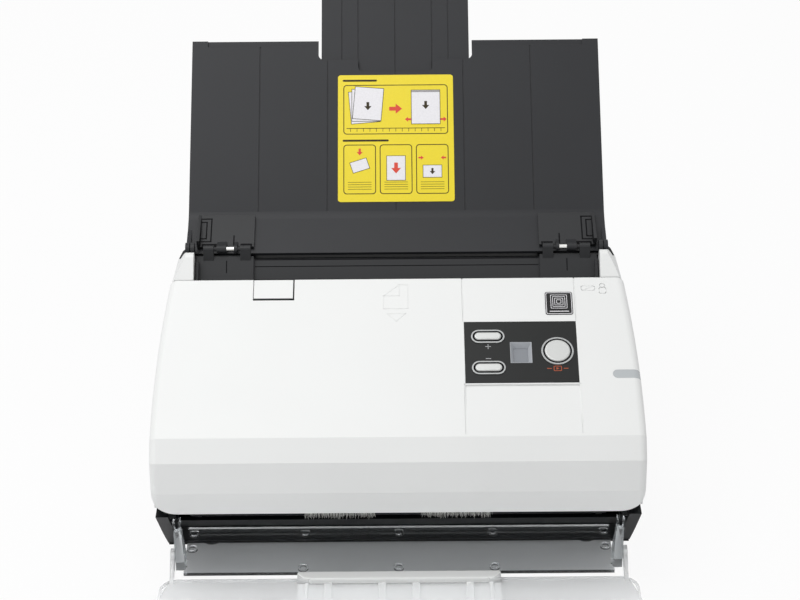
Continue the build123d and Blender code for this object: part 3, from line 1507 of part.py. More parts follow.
# Base housing: cheeks, rear wall and a front wall that slopes back under the exit
base_floor_z = foot_height + bottom_thickness
with BuildPart() as base_housing:
    with BuildSketch(side(-body_half)):
        Polygon((base_front_y, base_top_z), (base_floor_y, base_floor_z),
                (body_rear_y - base_taper, base_floor_z), (body_rear_y, base_top_z), align=None)
    extrude(amount=2 * body_half)
    with BuildSketch(level(0)):
        add(outline(base_inset))
    extrude(amount=tall, mode=Mode.INTERSECT)
    add(prism(-cheek_inner, cheek_inner, (-spare, 0), (front_wall_bend_y, 0),
              (front_wall_bend_y, front_wall_bend_z), (front_wall_top_y, front_wall_top_z),
              (-spare, front_wall_top_z)), mode=Mode.SUBTRACT)
    add(prism(-cheek_inner, cheek_inner, (front_wall_bend_y + wall, 0),
              (front_wall_bend_y + wall, front_wall_bend_z + wall_rise),
              (front_wall_top_y + wall, front_wall_top_z + wall_rise),
              (front_wall_top_y + wall, base_top_z + spare), (base_room_y, base_top_z + spare),
              (base_room_y, 0)), mode=Mode.SUBTRACT)
    add(slab(level(0), -cheek_inner, cheek_inner, -spare, front_wall_top_y + 2 * wall, front_wall_top_z,
             base_top_z + spare), mode=Mode.SUBTRACT)
    with BuildSketch(level(0)):
        add(outline(base_inset + wall))
        add(patch(-body_half, body_half, base_room_y, body_rear_y), mode=Mode.INTERSECT)
    extrude(amount=tall, mode=Mode.SUBTRACT)
    with BuildSketch(level(base_floor_z)):
        for x, y in screw_places:
            add(patch(x, body_half, y - rib_half, y + rib_half))
            add(patch(-body_half, -x, y - rib_half, y + rib_half))
            with Locations((x, y), (-x, y)):
                Circle(screw_head_radius + screw_boss_wall)
        add(outline(base_inset + wall / 2), mode=Mode.INTERSECT)
    extrude(amount=screw_boss_top - base_floor_z)
    with BuildSketch(level(0)):
        for x, y in screw_places:
            with Locations((x, y), (-x, y)):
                Circle(screw_radius)
    extrude(amount=foot_height + screw_length, mode=Mode.SUBTRACT)
    hook_front_y, hook_rear_y = tray_arm_front_y + hook_offset, tray_arm_rear_y + hook_offset
    for sign in (-1, 1):
        x0, x1 = sorted((sign * hook_block_inner, sign * (cheek_inner + overcut)))
        add(slab(level(0), x0, x1, hook_front_y, hook_rear_y, hook_block_z, hook_block_top))
        x0, x1 = sorted((sign * hook_tab_inner, sign * hook_tab_outer))
        add(slab(level(0), x0, x1, hook_front_y, hook_rear_y, hook_tab_z, hook_block_z + overcut))
save(base_housing, "base_housing")

# Bottom plate, feet and case screws
with BuildPart() as bottom_plate:
    with BuildSketch(level(foot_height)):
        add(outline(base_inset + plate_inset))
        add(patch(-body_half, body_half, base_floor_y, body_rear_y - plate_rear_gap), mode=Mode.INTERSECT)
        for x, y in screw_places:
            with Locations((x, y), (-x, y)):
                Circle(screw_radius, mode=Mode.SUBTRACT)
    extrude(amount=bottom_thickness)
save(bottom_plate, "bottom_plate")
with BuildPart() as feet:
    for y in foot_ys:
        for x in (-foot_x, foot_x):
            add(post(level(0), x, y, foot_radius, 0, foot_height))
    chamfer(feet.edges().filter_by(GeomType.CIRCLE).group_by(Axis.Z)[0], foot_chamfer)
save(feet, "feet")
with BuildPart() as case_screws:
    for x, y in screw_places:
        for sign in (-1, 1):
            add(post(level(0), sign * x, y, screw_head_radius, foot_height - screw_head_height, foot_height))
            add(post(level(0), sign * x, y, screw_radius, foot_height - screw_head_height / 2,
                     foot_height + screw_length))
save(case_screws, "case_screws")

# Output tray: the part under the exit, with two side arms that clip to the base
ring_places = [(x, tray_ring_rear_y) for x in (0, tray_ring_middle_x, tray_ring_side_x)]
ring_places += [(x, tray_ring_front_y) for x in (0, tray_ring_middle_x)]
ring_places.append((tray_ring_side_x, tray_ring_side_y))
prong_base = hook_tab_z - prong_base_low
prong_root = hook_tab_z - prong_base_high
with BuildPart() as tray_base:
    plate_bottom = tray_top_z - tray_thickness
    add(slab(level(0), -tray_half, tray_half, tray_front_y, tray_rear_y, plate_bottom, tray_top_z))
    add(slab(level(0), -tray_half, tray_half, tray_rear_y - tray_stop_thickness, tray_rear_y, tray_top_z,
             tray_top_z + tray_stop_height))
    ring_top = tray_top_z + tray_ring_height
    for x, y in ring_places:
        for place in {x, -x}:
            add(post(level(0), place, y, tray_ring_radius, tray_top_z, ring_top))
            add(post(level(0), place, y, tray_ring_radius - tray_ring_wall, tray_top_z, ring_top),
                mode=Mode.SUBTRACT)
    for sign in (-1, 1):
        x0, x1 = sorted((sign * (tray_half - tray_arm_root), sign * tray_arm_outer))
        add(slab(level(0), x0, x1, tray_arm_front_y, tray_arm_rear_y, plate_bottom,
                 tray_top_z + tray_arm_rise))
        x0, x1 = sorted((sign * tray_arm_inner, sign * tray_arm_outer))
        add(slab(level(0), x0, x1, tray_arm_front_y, tray_arm_rear_y, plate_bottom, prong_base))
        prong_inner = hook_tab_inner - prong_gap - prong_width
        prong_outer = hook_tab_outer + prong_gap
        x0, x1 = sorted((sign * prong_inner, sign * (prong_outer + prong_width)))
        add(slab(level(0), x0, x1, tray_arm_front_y, tray_arm_rear_y, prong_base, prong_root))
        for inner in (prong_inner, prong_outer):
            x0, x1 = sorted((sign * inner, sign * (inner + prong_width)))
            add(slab(level(0), x0, x1, tray_arm_front_y, tray_arm_rear_y, prong_root, tray_arm_top))
        x0, x1 = sorted((sign * tray_arm_outer, sign * (tray_arm_outer + tray_pivot_length)))
        add(rod(x0, x1, (tray_pivot_y, tray_pivot_z), tray_pivot_radius))
save(tray_base, "tray_base")

# Tray flap in front, on two side bars
with BuildPart() as tray_flap:
    with BuildSketch(level(flap_bottom_z)):
        Polygon((-flap_plate_rear_half, flap_plate_rear_y), (-flap_plate_half, flap_widen_y),
                (-flap_plate_half, flap_plate_front_y), (flap_plate_half, flap_plate_front_y),
                (flap_plate_half, flap_widen_y), (flap_plate_rear_half, flap_plate_rear_y), align=None)
    extrude(amount=tray_thickness)
    fillet(tray_flap.edges().filter_by(Axis.Z).group_by(Axis.Y)[0], tray_corner_radius)
    add(slab(level(0), -third_half - clearance, third_half + clearance, flap_plate_front_y - overcut,
             flap_notch_y, flap_bottom_z - overcut, flap_bottom_z + tray_thickness + overcut),
        mode=Mode.SUBTRACT)
    bar_front_y = flap_plate_rear_y - tray_bar_overlap
    for sign in (-1, 1):
        bar_inner = tray_arm_outer + tray_ear_gap
        x0, x1 = sorted((sign * bar_inner, sign * (bar_inner + tray_bar_width)))
        add(prism(x0, x1, (tray_pivot_y + tray_bar_foot[0], tray_pivot_z + tray_bar_foot[1]),
                  (flap_plate_rear_y, flap_bottom_z), (bar_front_y, flap_bottom_z),
                  (bar_front_y, flap_bottom_z + tray_thickness),
                  (flap_plate_rear_y, flap_bottom_z + tray_bar_height),
                  (tray_pivot_y + tray_bar_top[0], tray_pivot_z + tray_bar_top[1])))
        add(rod(x0, x1, (tray_pivot_y, tray_pivot_z), ear_radius))
        ear_inner = third_half + hinge_ear_gap
        x0, x1 = sorted((sign * ear_inner, sign * (ear_inner + hinge_ear_width)))
        add(rod(x0, x1, (tray_hinge_y, tray_hinge_z), hinge_ear_radius))
    for axis in ((tray_pivot_y, tray_pivot_z), (tray_hinge_y, tray_hinge_z)):
        add(rod(-body_half, body_half, axis, tray_pivot_radius + running_fit), mode=Mode.SUBTRACT)
save(tray_flap, "tray_flap")

# Folded-back third piece with its handle
with BuildPart() as tray_extension:
    handle_front_y = third_rear_y - handle_depth
    add(slab(level(0), -third_half, third_half, tray_hinge_y, handle_front_y, third_bottom_z,
             third_bottom_z + tray_thickness))
    add(slab(level(0), -third_half, third_half, handle_front_y, third_rear_y, third_bottom_z,
             third_bottom_z + handle_height))
    add(rod(-third_half, third_half, (tray_hinge_y, tray_hinge_z), hinge_barrel_radius))
    add(rod(-third_half - hinge_pin_reach, third_half + hinge_pin_reach, (tray_hinge_y, tray_hinge_z),
            tray_pivot_radius))
save(tray_extension, "tray_extension")
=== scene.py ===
import json
import math
import random

import bmesh
import bpy
from mathutils import Matrix, Vector


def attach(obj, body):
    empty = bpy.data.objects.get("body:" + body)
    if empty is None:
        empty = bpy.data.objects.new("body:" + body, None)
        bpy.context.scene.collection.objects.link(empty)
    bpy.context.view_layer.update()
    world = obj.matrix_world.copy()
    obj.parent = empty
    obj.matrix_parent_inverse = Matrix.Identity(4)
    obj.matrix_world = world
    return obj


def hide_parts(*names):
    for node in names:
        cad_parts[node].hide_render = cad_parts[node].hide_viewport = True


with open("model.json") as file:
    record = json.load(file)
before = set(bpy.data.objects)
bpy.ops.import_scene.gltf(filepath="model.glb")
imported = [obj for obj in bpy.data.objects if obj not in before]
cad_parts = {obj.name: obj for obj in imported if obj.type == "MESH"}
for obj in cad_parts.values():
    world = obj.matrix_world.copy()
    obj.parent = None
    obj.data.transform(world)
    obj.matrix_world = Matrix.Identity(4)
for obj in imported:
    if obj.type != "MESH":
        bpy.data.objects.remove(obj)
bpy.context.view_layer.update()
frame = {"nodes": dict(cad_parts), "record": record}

# Lengths below are millimetres in the scanner's own layout: y from the nose edge and z from the floor
MM = 0.001
NOSE_Y = -122.0
SIDES = (("left", -1), ("right", 1))
random.seed(7)


class Slope:
    """A work plane across the scanner: s climbs to the rear along it and h stands out of it."""

    def __init__(self, y, z, tilt):
        self.y = y
        self.z = z
        self.tilt = math.radians(tilt)

    def place(self, s, h):
        """The y and z of a place on the slope."""
        return (self.y + s * math.cos(self.tilt) - h * math.sin(self.tilt),
                self.z + s * math.sin(self.tilt) + h * math.cos(self.tilt))

    def at(self, x, s, h=0.0):
        """The point in the row frame, in metres."""
        y, z = self.place(s, h)
        return Vector((x, NOSE_Y + y, z)) * MM

    def on(self, s, h, tilt):
        """Another slope that starts from a place on this one."""
        return Slope(*self.place(s, h), tilt)


# Work planes of the upper front band, the control panel, the paper path, the chute's foot and the chute
TOP_BAND = Slope(y=0.0, z=106.0, tilt=50.0)
PANEL = TOP_BAND.on(s=16.2, h=0.0, tilt=24.4)
PATH = Slope(y=19.0, z=53.4, tilt=43.0)
FOOT = Slope(y=147.0, z=179.5, tilt=24.0)
CHUTE = FOOT.on(s=32.0, h=-5.0, tilt=42.75)
# The back wall, where h points into the body, and the floor
REAR = Slope(y=166.0, z=0.0, tilt=90.0)
LEVEL = Slope(y=0.0, z=0.0, tilt=0.0)


# Outlines
def block(x0, x1, s0, s1):
    """A rectangle's outline between two values each way."""
    return [(x0, s0), (x1, s0), (x1, s1), (x0, s1)]


def centred(x, s, width, height):
    """A rectangle's outline about its centre."""
    return block(x - width / 2, x + width / 2, s - height / 2, s + height / 2)


def rounded(x, s, width, height, radius, steps=6):
    """A rectangle's outline with round corners, about its centre."""
    points = []
    for corner, (sx, sy) in enumerate(((1, 1), (-1, 1), (-1, -1), (1, -1))):
        cx = x + sx * (width / 2 - radius)
        cs = s + sy * (height / 2 - radius)
        for n in range(steps + 1):
            angle = math.radians(90 * corner + 90 * n / steps)
            points.append((cx + radius * math.cos(angle), cs + radius * math.sin(angle)))
    return points


def turned(outline, x, s, degrees, size=1.0):
    """An outline about the origin, scaled, turned and moved to a place."""
    c, d = math.cos(math.radians(degrees)), math.sin(math.radians(degrees))
    return [(x + size * (a * c - b * d), s + size * (a * d + b * c)) for a, b in outline]


def both(x0, x1, sign):
    """Two x values on one side, the lower first."""
    return sorted((sign * x0, sign * x1))


# Mesh helpers
SHARP_ANGLE = math.radians(40)
BEVEL_SEGMENTS = 3


def piece(name, mesh, body, material, smooth=False, bevel=0.0):
    """Makes an object of a bmesh, gives it its finish and lets it ride on a body."""
    bmesh.ops.recalc_face_normals(mesh, faces=mesh.faces)
    data = bpy.data.meshes.new(name)
    mesh.to_mesh(data)
    mesh.free()
    data.materials.append(material)
    shape = bpy.data.objects.new(name, data)
    bpy.context.scene.collection.objects.link(shape)
    if bevel:
        rounding = shape.modifiers.new("rounding", "BEVEL")
        rounding.width = bevel * MM
        rounding.segments = BEVEL_SEGMENTS
        rounding.limit_method = "ANGLE"
    if smooth or bevel:
        data.shade_smooth()
        data.set_sharp_from_angle(angle=SHARP_ANGLE)
    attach(shape, body)
    return shape


def skin(mesh, low, high):
    """Adds the faces between two loops with as many vertices."""
    for n in range(len(low)):
        m = (n + 1) % len(low)
        mesh.faces.new((low[n], low[m], high[m], high[n]))


def loft(mesh, loops):
    """Adds a closed form through loops with as many points each."""
    rows = [[mesh.verts.new(point) for point in loop] for loop in loops]
    mesh.faces.new(rows[0][::-1])
    mesh.faces.new(rows[-1])
    for low, high in zip(rows, rows[1:]):
        skin(mesh, low, high)


def prism(mesh, slope, outline, low, high):
    """Adds an outline of (x, s) points, raised between two heights over a slope."""
    loft(mesh, [[slope.at(x, s, h) for x, s in outline] for h in (low, high)])


def ring(mesh, slope, outer, inner, low, high):
    """Adds a raised frame between two outlines with as many points."""
    loops = [[mesh.verts.new(slope.at(x, s, h)) for x, s in line]
             for line, h in ((outer, low), (outer, high), (inner, high), (inner, low))]
    for k in range(4):
        skin(mesh, loops[k], loops[(k + 1) % 4])


def stroke(mesh, slope, points, width, low, high, closed=False):
    """Adds a drawn line of a width, one raised bar for each stretch."""
    ends = points + points[:1] if closed else points
    for (x0, s0), (x1, s1) in zip(ends, ends[1:]):
        length = math.hypot(x1 - x0, s1 - s0)
        ux, us = (x1 - x0) / length * width / 2, (s1 - s0) / length * width / 2
        outline = [(x0 - ux - us, s0 - us + ux), (x0 - ux + us, s0 - us - ux),
                   (x1 + ux + us, s1 + us - ux), (x1 + ux - us, s1 + us + ux)]
        prism(mesh, slope, outline, low, high)


def tube(mesh, start, end, r0, r1, steps=20):
    """Adds a round bar, or a taper, between two points in the row frame."""
    axis = (end - start).normalized()
    across = axis.orthogonal().normalized()
    other = axis.cross(across)
    turns = [2 * math.pi * n / steps for n in range(steps)]
    circle = [math.cos(turn) * across + math.sin(turn) * other for turn in turns]
    loft(mesh, [[point + MM * radius * spoke for spoke in circle]
                for point, radius in ((start, r0), (end, r1))])


# Node helpers, with noise scales in features per metre
SHADE_SCALE = 14.0
CLOUD_SCALE = 30.0
WEAR_SCALE = 220.0
FILM_SCALE = 300.0
GLOSS_SCALE = 400.0
SPECK_SCALE = 900.0
GRAIN_SCALE = 2600.0
LINE_SCALE = 60.0
LINE_STRETCH = (1.0, 30.0, 30.0)


def shader(name):
    """A new material with its nodes, its links and its surface shader."""
    material = bpy.data.materials.new(name)
    material.use_nodes = True
    nodes = material.node_tree.nodes
    return material, nodes, material.node_tree.links, nodes["Principled BSDF"]


def calculate(nodes, links, operation, first, second):
    """The result of a maths node over two values, each a socket or a number."""
    node = nodes.new("ShaderNodeMath")
    node.operation = operation
    for entry, value in zip(node.inputs, (first, second)):
        if isinstance(value, float):
            entry.default_value = value
        else:
            links.new(value, entry)
    return node.outputs["Value"]


def spread(nodes, links, factor, target, low, high):
    """Lets a socket follow a factor between two values."""
    span = nodes.new("ShaderNodeMapRange")
    span.inputs["To Min"].default_value = low
    span.inputs["To Max"].default_value = high
    links.new(factor, span.inputs["Value"])
    links.new(span.outputs["Result"], target)


def noise(nodes, links, scale, detail=3.0):
    """A noise over the object's own coordinates."""
    place = nodes.new("ShaderNodeTexCoord")
    texture = nodes.new("ShaderNodeTexNoise")
    texture.inputs["Scale"].default_value = scale
    texture.inputs["Detail"].default_value = detail
    links.new(place.outputs["Object"], texture.inputs["Vector"])
    return texture.outputs["Fac"]


def blend_colours(nodes, links, factor, low, high):
    """A ramp between two colours over the middle of a factor's range."""
    ramp = nodes.new("ShaderNodeValToRGB")
    for stop, position, colour in zip(ramp.color_ramp.elements, (0.35, 0.65), (low, high)):
        stop.position = position
        stop.color = (*colour, 1)
    links.new(factor, ramp.inputs["Fac"])
    return ramp.outputs["Color"]


def edge_mask(nodes, links, radius):
    """How far the rounded normal leaves the flat one, which is where a moulding's edges are."""
    rounding = nodes.new("ShaderNodeBevel")
    rounding.samples = 4
    rounding.inputs["Radius"].default_value = radius * MM
    flat = nodes.new("ShaderNodeNewGeometry")
    match = nodes.new("ShaderNodeVectorMath")
    match.operation = "DOT_PRODUCT"
    links.new(rounding.outputs["Normal"], match.inputs[0])
    links.new(flat.outputs["Normal"], match.inputs[1])
    same, turned_away = 1.0, 0.75
    mask = nodes.new("ShaderNodeMapRange")
    mask.inputs["From Min"].default_value = same
    mask.inputs["From Max"].default_value = turned_away
    links.new(match.outputs["Value"], mask.inputs["Value"])
    return rounding.outputs["Normal"], mask.outputs["Result"]


# Kinds of material
def moulded(name, colour, roughness, grain=0.06, shade=0.04, wear=0.12, edge=0.35,
            specular=0.5, metallic=0.0, coat=0.0):
    """Moulded plastic or rubber: fine grain, slow changes of shade, and edges worn a little lighter."""
    material, nodes, links, surface = shader(name)
    low = tuple(c * (1 - shade) for c in colour)
    base = blend_colours(nodes, links, noise(nodes, links, SHADE_SCALE), low, colour)
    rounded_normal, mask = edge_mask(nodes, links, edge)
    worn = nodes.new("ShaderNodeMix")
    worn.data_type = "RGBA"
    worn.inputs["B"].default_value = (*(min(1.0, c + (1 - c) * wear) for c in colour), 1)
    amount = calculate(nodes, links, "MULTIPLY", mask, noise(nodes, links, WEAR_SCALE))
    links.new(amount, worn.inputs["Factor"])
    links.new(base, worn.inputs["A"])
    links.new(worn.outputs["Result"], surface.inputs["Base Color"])
    fine = noise(nodes, links, GRAIN_SCALE, detail=2.0)
    spread(nodes, links, fine, surface.inputs["Roughness"], roughness - 0.05, roughness + 0.05)
    bump = nodes.new("ShaderNodeBump")
    bump.inputs["Strength"].default_value = grain
    bump.inputs["Distance"].default_value = 0.1 * MM
    links.new(fine, bump.inputs["Height"])
    links.new(rounded_normal, bump.inputs["Normal"])
    links.new(bump.outputs["Normal"], surface.inputs["Normal"])
    surface.inputs["Specular IOR Level"].default_value = specular
    surface.inputs["Metallic"].default_value = metallic
    surface.inputs["Coat Weight"].default_value = coat
    return material


def metal(name, colour, roughness):
    """Drawn or plated metal, with fine lines along x."""
    material, nodes, links, surface = shader(name)
    place = nodes.new("ShaderNodeTexCoord")
    scaled = nodes.new("ShaderNodeMapping")
    scaled.inputs["Scale"].default_value = LINE_STRETCH
    links.new(place.outputs["Object"], scaled.inputs["Vector"])
    lines = nodes.new("ShaderNodeTexNoise")
    lines.inputs["Scale"].default_value = LINE_SCALE
    links.new(scaled.outputs["Vector"], lines.inputs["Vector"])
    streaks = lines.outputs["Fac"]
    darker = tuple(c * 0.85 for c in colour)
    links.new(blend_colours(nodes, links, streaks, darker, colour), surface.inputs["Base Color"])
    spread(nodes, links, streaks, surface.inputs["Roughness"], roughness - 0.06, roughness + 0.08)
    surface.inputs["Metallic"].default_value = 1.0
    return material


def clear(name, tint, roughness, milk, ior=1.3):
    """See-through plastic: shadows pass through it, and a little of it is milky."""
    material, nodes, links, surface = shader(name)
    surface.inputs["Transmission Weight"].default_value = 1.0 - milk
    surface.inputs["IOR"].default_value = ior
    lighter = tuple(min(1.0, c * 1.02) for c in tint)
    cloud = noise(nodes, links, CLOUD_SCALE)
    links.new(blend_colours(nodes, links, cloud, tint, lighter), surface.inputs["Base Color"])
    spread(nodes, links, noise(nodes, links, GLOSS_SCALE), surface.inputs["Roughness"],
           max(0.0, roughness - 0.02), roughness + 0.03)
    through = nodes.new("ShaderNodeBsdfTransparent")
    through.inputs["Color"].default_value = (0.93, 0.94, 0.94, 1)
    path = nodes.new("ShaderNodeLightPath")
    mix = nodes.new("ShaderNodeMixShader")
    links.new(path.outputs["Is Shadow Ray"], mix.inputs["Fac"])
    links.new(surface.outputs["BSDF"], mix.inputs[1])
    links.new(through.outputs["BSDF"], mix.inputs[2])
    links.new(mix.outputs["Shader"], nodes["Material Output"].inputs["Surface"])
    return material


def printed(name, colour, roughness=0.45, speck=0.06, specular=0.4):
    """Ink or printed film, with a faint mottle; also the flat black of painted shade."""
    material, nodes, links, surface = shader(name)
    surface.inputs["Specular IOR Level"].default_value = specular
    darker = tuple(c * (1 - speck) for c in colour)
    mottle = noise(nodes, links, SPECK_SCALE)
    links.new(blend_colours(nodes, links, mottle, darker, colour), surface.inputs["Base Color"])
    spread(nodes, links, noise(nodes, links, FILM_SCALE), surface.inputs["Roughness"],
           roughness - 0.06, roughness + 0.06)
    return material


# Materials
white = moulded("white_satin", (0.86, 0.87, 0.862), 0.42, grain=0.05, wear=0.0, shade=0.012)
black = moulded("black_textured", (0.006, 0.007, 0.008), 0.4, grain=0.1, wear=0.04, specular=0.15)
dark = moulded("dark_satin", (0.025, 0.026, 0.028), 0.42, grain=0.08, wear=0.05, specular=0.25)
chute_grey = moulded("chute_textured", (0.021, 0.022, 0.025), 0.42, grain=0.12, wear=0.05, shade=0.08,
                     specular=0.25)
bezel_black = moulded("bezel_satin", (0.014, 0.015, 0.015), 0.32, grain=0.02, wear=0.06, edge=0.2,
                      specular=0.2)
key_white = moulded("key_pearl", (0.56, 0.57, 0.56), 0.32, grain=0.01, wear=0.0, edge=0.8, metallic=0.35)
silver = moulded("ring_silver", (0.36, 0.37, 0.37), 0.35, grain=0.02, wear=0.2, edge=0.3, metallic=0.5)
display_grey = moulded("display_silver", (0.5, 0.52, 0.55), 0.22, grain=0.0, wear=0.1, edge=0.2)
display_dark = moulded("display_floor", (0.27, 0.285, 0.31), 0.2, grain=0.0, wear=0.0, specular=0.4)
light_grey = moulded("light_smoked", (0.5, 0.53, 0.545), 0.16, grain=0.0, wear=0.1, edge=0.3, coat=0.4)
yellow = printed("label_yellow", (0.87, 0.7, 0.015), 0.35, 0.03)
bristle_white = moulded("bristle_white", (0.8, 0.8, 0.77), 0.5, grain=0.0, wear=0.0, shade=0.2)
tray_clear = clear("tray_clear", (0.9, 0.92, 0.93), 0.04, 0.02)
tray_milky = clear("tray_milky", (0.96, 0.965, 0.97), 0.14, 0.42)
arm_clear = clear("arm_clear", (0.9, 0.92, 0.93), 0.08, 0.12)
rubber = moulded("roller_rubber", (0.05, 0.05, 0.052), 0.7, grain=0.3, wear=0.05)
steel = metal("plated_steel", (0.62, 0.62, 0.6), 0.32)
bright_steel = metal("pin_steel", (0.85, 0.85, 0.82), 0.2)
natural = moulded("gear_natural", (0.68, 0.66, 0.58), 0.45, grain=0.03, wear=0.0)
module_black = moulded("module_matt", (0.03, 0.03, 0.032), 0.55, grain=0.1)
optic = clear("optical_glass", (0.7, 0.78, 0.75), 0.01, 0.05, 1.5)
board_green = moulded("board_mask", (0.02, 0.16, 0.06), 0.35, grain=0.02, wear=0.0, shade=0.2)
plated = metal("socket_plating", (0.7, 0.7, 0.68), 0.25)
ink_dark = printed("ink_dark", (0.035, 0.025, 0.008), specular=0.2)
ink_red = printed("ink_red", (0.72, 0.06, 0.03))
ink_white = printed("ink_white", (0.86, 0.85, 0.88))
ink_grey = printed("ink_grey", (0.42, 0.43, 0.44))
ink_orange = printed("ink_orange", (0.4, 0.07, 0.015))
# Painted shade: a flat black laid in gaps, seams, slots, slits, grooves and recesses, in place of the
# shade that falls there
painted_shade_black = printed("painted_shade_black", (0.004, 0.004, 0.005), 0.6, specular=0.08)
contact_gold = metal("contact_gold", (0.8, 0.6, 0.25), 0.25)

finishes = {
    "white_plastic": white, "black_plastic": black, "dark_plastic": dark, "chute_plastic": chute_grey,
    "bezel_plastic": bezel_black, "key_plastic": key_white, "silver_plastic": silver,
    "display_plastic": display_grey, "light_plastic": light_grey, "label": yellow,
    "bristles": bristle_white, "clear_plastic": tray_clear, "rubber": rubber, "steel": steel,
    "gear_plastic": natural, "module_plastic": module_black, "optical_glass": optic,
    "board": board_green, "socket_metal": plated,
}
node_finishes = {"tray_flap": tray_milky, "tray_extension": tray_milky, "badge_plate": bezel_black}


def dress_nodes():
    """Gives every CAD node the finish of its slot."""
    slots = {entry["node"]: entry["material_slot"] for entry in frame["record"]["subparts"]}
    for name, node in frame["nodes"].items():
        finish = node_finishes.get(name, finishes[slots[name]])
        node.data.materials.clear()
        node.data.materials.append(finish)


# Marks on the front cover, as x and s on PANEL
KEY_X = 59.5
PLUS_S = 76.1
MINUS_S = 51.7
SCAN_PLACE = (104.8, 64.3)
DISPLAY_PLACE = (81.0, 63.6)
BADGE_X = 107.6
BADGE_S = 102.3
PANEL_INK = (-0.02, 0.05)


def cover_symbols():
    """Outlines raised out of the cover: a folded page and a pointer, a lock and a struck-out bar."""
    mesh = bmesh.new()
    raised = (-0.2, 0.09)
    width = 0.4
    left, right, bottom, top = -9.0, 7.2, 99.0, 118.4
    fold_x, fold_s = 1.5, 109.5
    page = [(left, bottom), (right, bottom), (right, top), (fold_x, top), (left, fold_s)]
    stroke(mesh, PANEL, page, width, *raised, closed=True)
    stroke(mesh, PANEL, [(fold_x, top), (fold_x, fold_s), (left, fold_s)], width, *raised)
    tip_x, tip_s, half, back_s = -0.5, 89.0, 6.0, 95.0
    pointer = [(tip_x - half, back_s), (tip_x + half, back_s), (tip_x, tip_s)]
    stroke(mesh, PANEL, pointer, width, *raised, closed=True)
    bar_x, bar_s = 127.5, 114.5
    stroke(mesh, PANEL, rounded(bar_x, bar_s, 9.0, 3.6, 1.2), width, *raised, closed=True)
    stroke(mesh, PANEL, [(bar_x - 3.0, bar_s - 1.5), (bar_x + 3.0, bar_s + 1.5)], width, *raised)
    lock_x, lock_s, bow_s = 137.2, 112.6, 116.6
    stroke(mesh, PANEL, rounded(lock_x, lock_s, 4.6, 4.8, 1.2), width, *raised, closed=True)
    stroke(mesh, PANEL, rounded(lock_x, bow_s, 3.4, 3.0, 1.4), width, *raised, closed=True)
    piece("cover_symbols", mesh, "cover", white)


def key_marks():
    """The plus below its key and the minus above its own."""
    mesh = bmesh.new()
    width = 0.5
    plus_s, plus_arm = 68.4, 1.6
    minus_s, minus_arm = 59.0, 1.5
    stroke(mesh, PANEL, [(KEY_X - plus_arm, plus_s), (KEY_X + plus_arm, plus_s)], width, *PANEL_INK)
    stroke(mesh, PANEL, [(KEY_X, plus_s - plus_arm), (KEY_X, plus_s + plus_arm)], width, *PANEL_INK)
    stroke(mesh, PANEL, [(KEY_X - minus_arm, minus_s), (KEY_X + minus_arm, minus_s)], width, *PANEL_INK)
    piece("key_marks", mesh, "cover", ink_grey)


def scan_mark():
    """A framed pointer between two dashes, below the scan key."""
    mesh = bmesh.new()
    x, s = 104.4, 51.0
    width, height, line, corner, inner_corner = 5.4, 4.0, 0.5, 0.8, 0.4
    ring(mesh, PANEL, rounded(x, s, width, height, corner),
         rounded(x, s, width - 2 * line, height - 2 * line, inner_corner), *PANEL_INK)
    back, tip, half = 0.9, 1.1, 1.0
    prism(mesh, PANEL, [(x - back, s - half), (x + tip, s), (x - back, s + half)], *PANEL_INK)
    dash_start, dash_end, dash_width = 4.2, 6.6, 0.6
    for sign in (-1, 1):
        dash = [(x + sign * dash_start, s), (x + sign * dash_end, s)]
        stroke(mesh, PANEL, dash, dash_width, *PANEL_INK)
    piece("scan_mark", mesh, "cover", ink_orange)


def display_floor():
    """The darker floor of the display's well."""
    mesh = bmesh.new()
    width, height, low, high = 9.4, 11.4, -4.05, -3.9
    prism(mesh, PANEL, centred(*DISPLAY_PLACE, width, height), low, high)
    piece("display_floor", mesh, "cover", display_dark)


def painted_key_gap_shade():
    """Painted shade: dark rings laid over the inner edge of the silver rings, standing in for the shaded
    gaps between the keys and their rings.
    """
    mesh = bmesh.new()
    steps, low, high = 12, 0.6, 0.76
    key_size = (20.0, 8.2, 1.05)
    scan_size = (19.0, 19.0, 0.95)
    for place, (width, height, gap) in (((KEY_X, PLUS_S), key_size), ((KEY_X, MINUS_S), key_size),
                                        (SCAN_PLACE, scan_size)):
        inner_width = width - 2 * gap
        inner_height = height - 2 * gap
        ring(mesh, PANEL, rounded(*place, width, height, height / 2, steps),
             rounded(*place, inner_width, inner_height, inner_height / 2, steps), low, high)
    piece("painted_key_gap_shade", mesh, "cover", painted_shade_black)


def release_gap_shade():
    """Painted shade: a black plate sunk in the seam in front of the release button and on its right,
    standing in for the shadow in the gap.
    """
    mesh = bmesh.new()
    left, right, front, rear = -95.9, -68.6, 106.6, 122.0
    front_width, side_width = 1.4, 0.65
    low, high = -1.6, -0.5
    prism(mesh, PANEL, block(left, right, front, front + front_width), low, high)
    prism(mesh, PANEL, block(right - side_width, right, front, rear), low, high)
    piece("release_gap_shade", mesh, "cover", painted_shade_black)


def badge_lines():
    """A plain design for the badge plate: a rim, nested squares and a bar."""
    mesh = bmesh.new()
    low, high = 0.28, 0.34
    rim, rim_corner = 17.2, 1.2
    inner_rim, inner_rim_corner = 16.4, 1.0
    ring(mesh, PANEL, rounded(BADGE_X, BADGE_S, rim, rim, rim_corner),
         rounded(BADGE_X, BADGE_S, inner_rim, inner_rim, inner_rim_corner), low, high)
    squares, largest, shrink, line = 4, 11.0, 2.6, 0.7
    corner, inner_corner = 0.5, 0.3
    square_s = BADGE_S + 1.3
    for n in range(squares):
        outer = largest - shrink * n
        inner = outer - line
        ring(mesh, PANEL, rounded(BADGE_X, square_s, outer, outer, corner),
             rounded(BADGE_X, square_s, inner, inner, inner_corner), low, high)
    bar_s, bar_half, bar_width = BADGE_S - 6.5, 6.1, 0.6
    stroke(mesh, PANEL, [(BADGE_X - bar_half, bar_s), (BADGE_X + bar_half, bar_s)], bar_width, low, high)
    piece("badge_lines", mesh, "cover", ink_white)


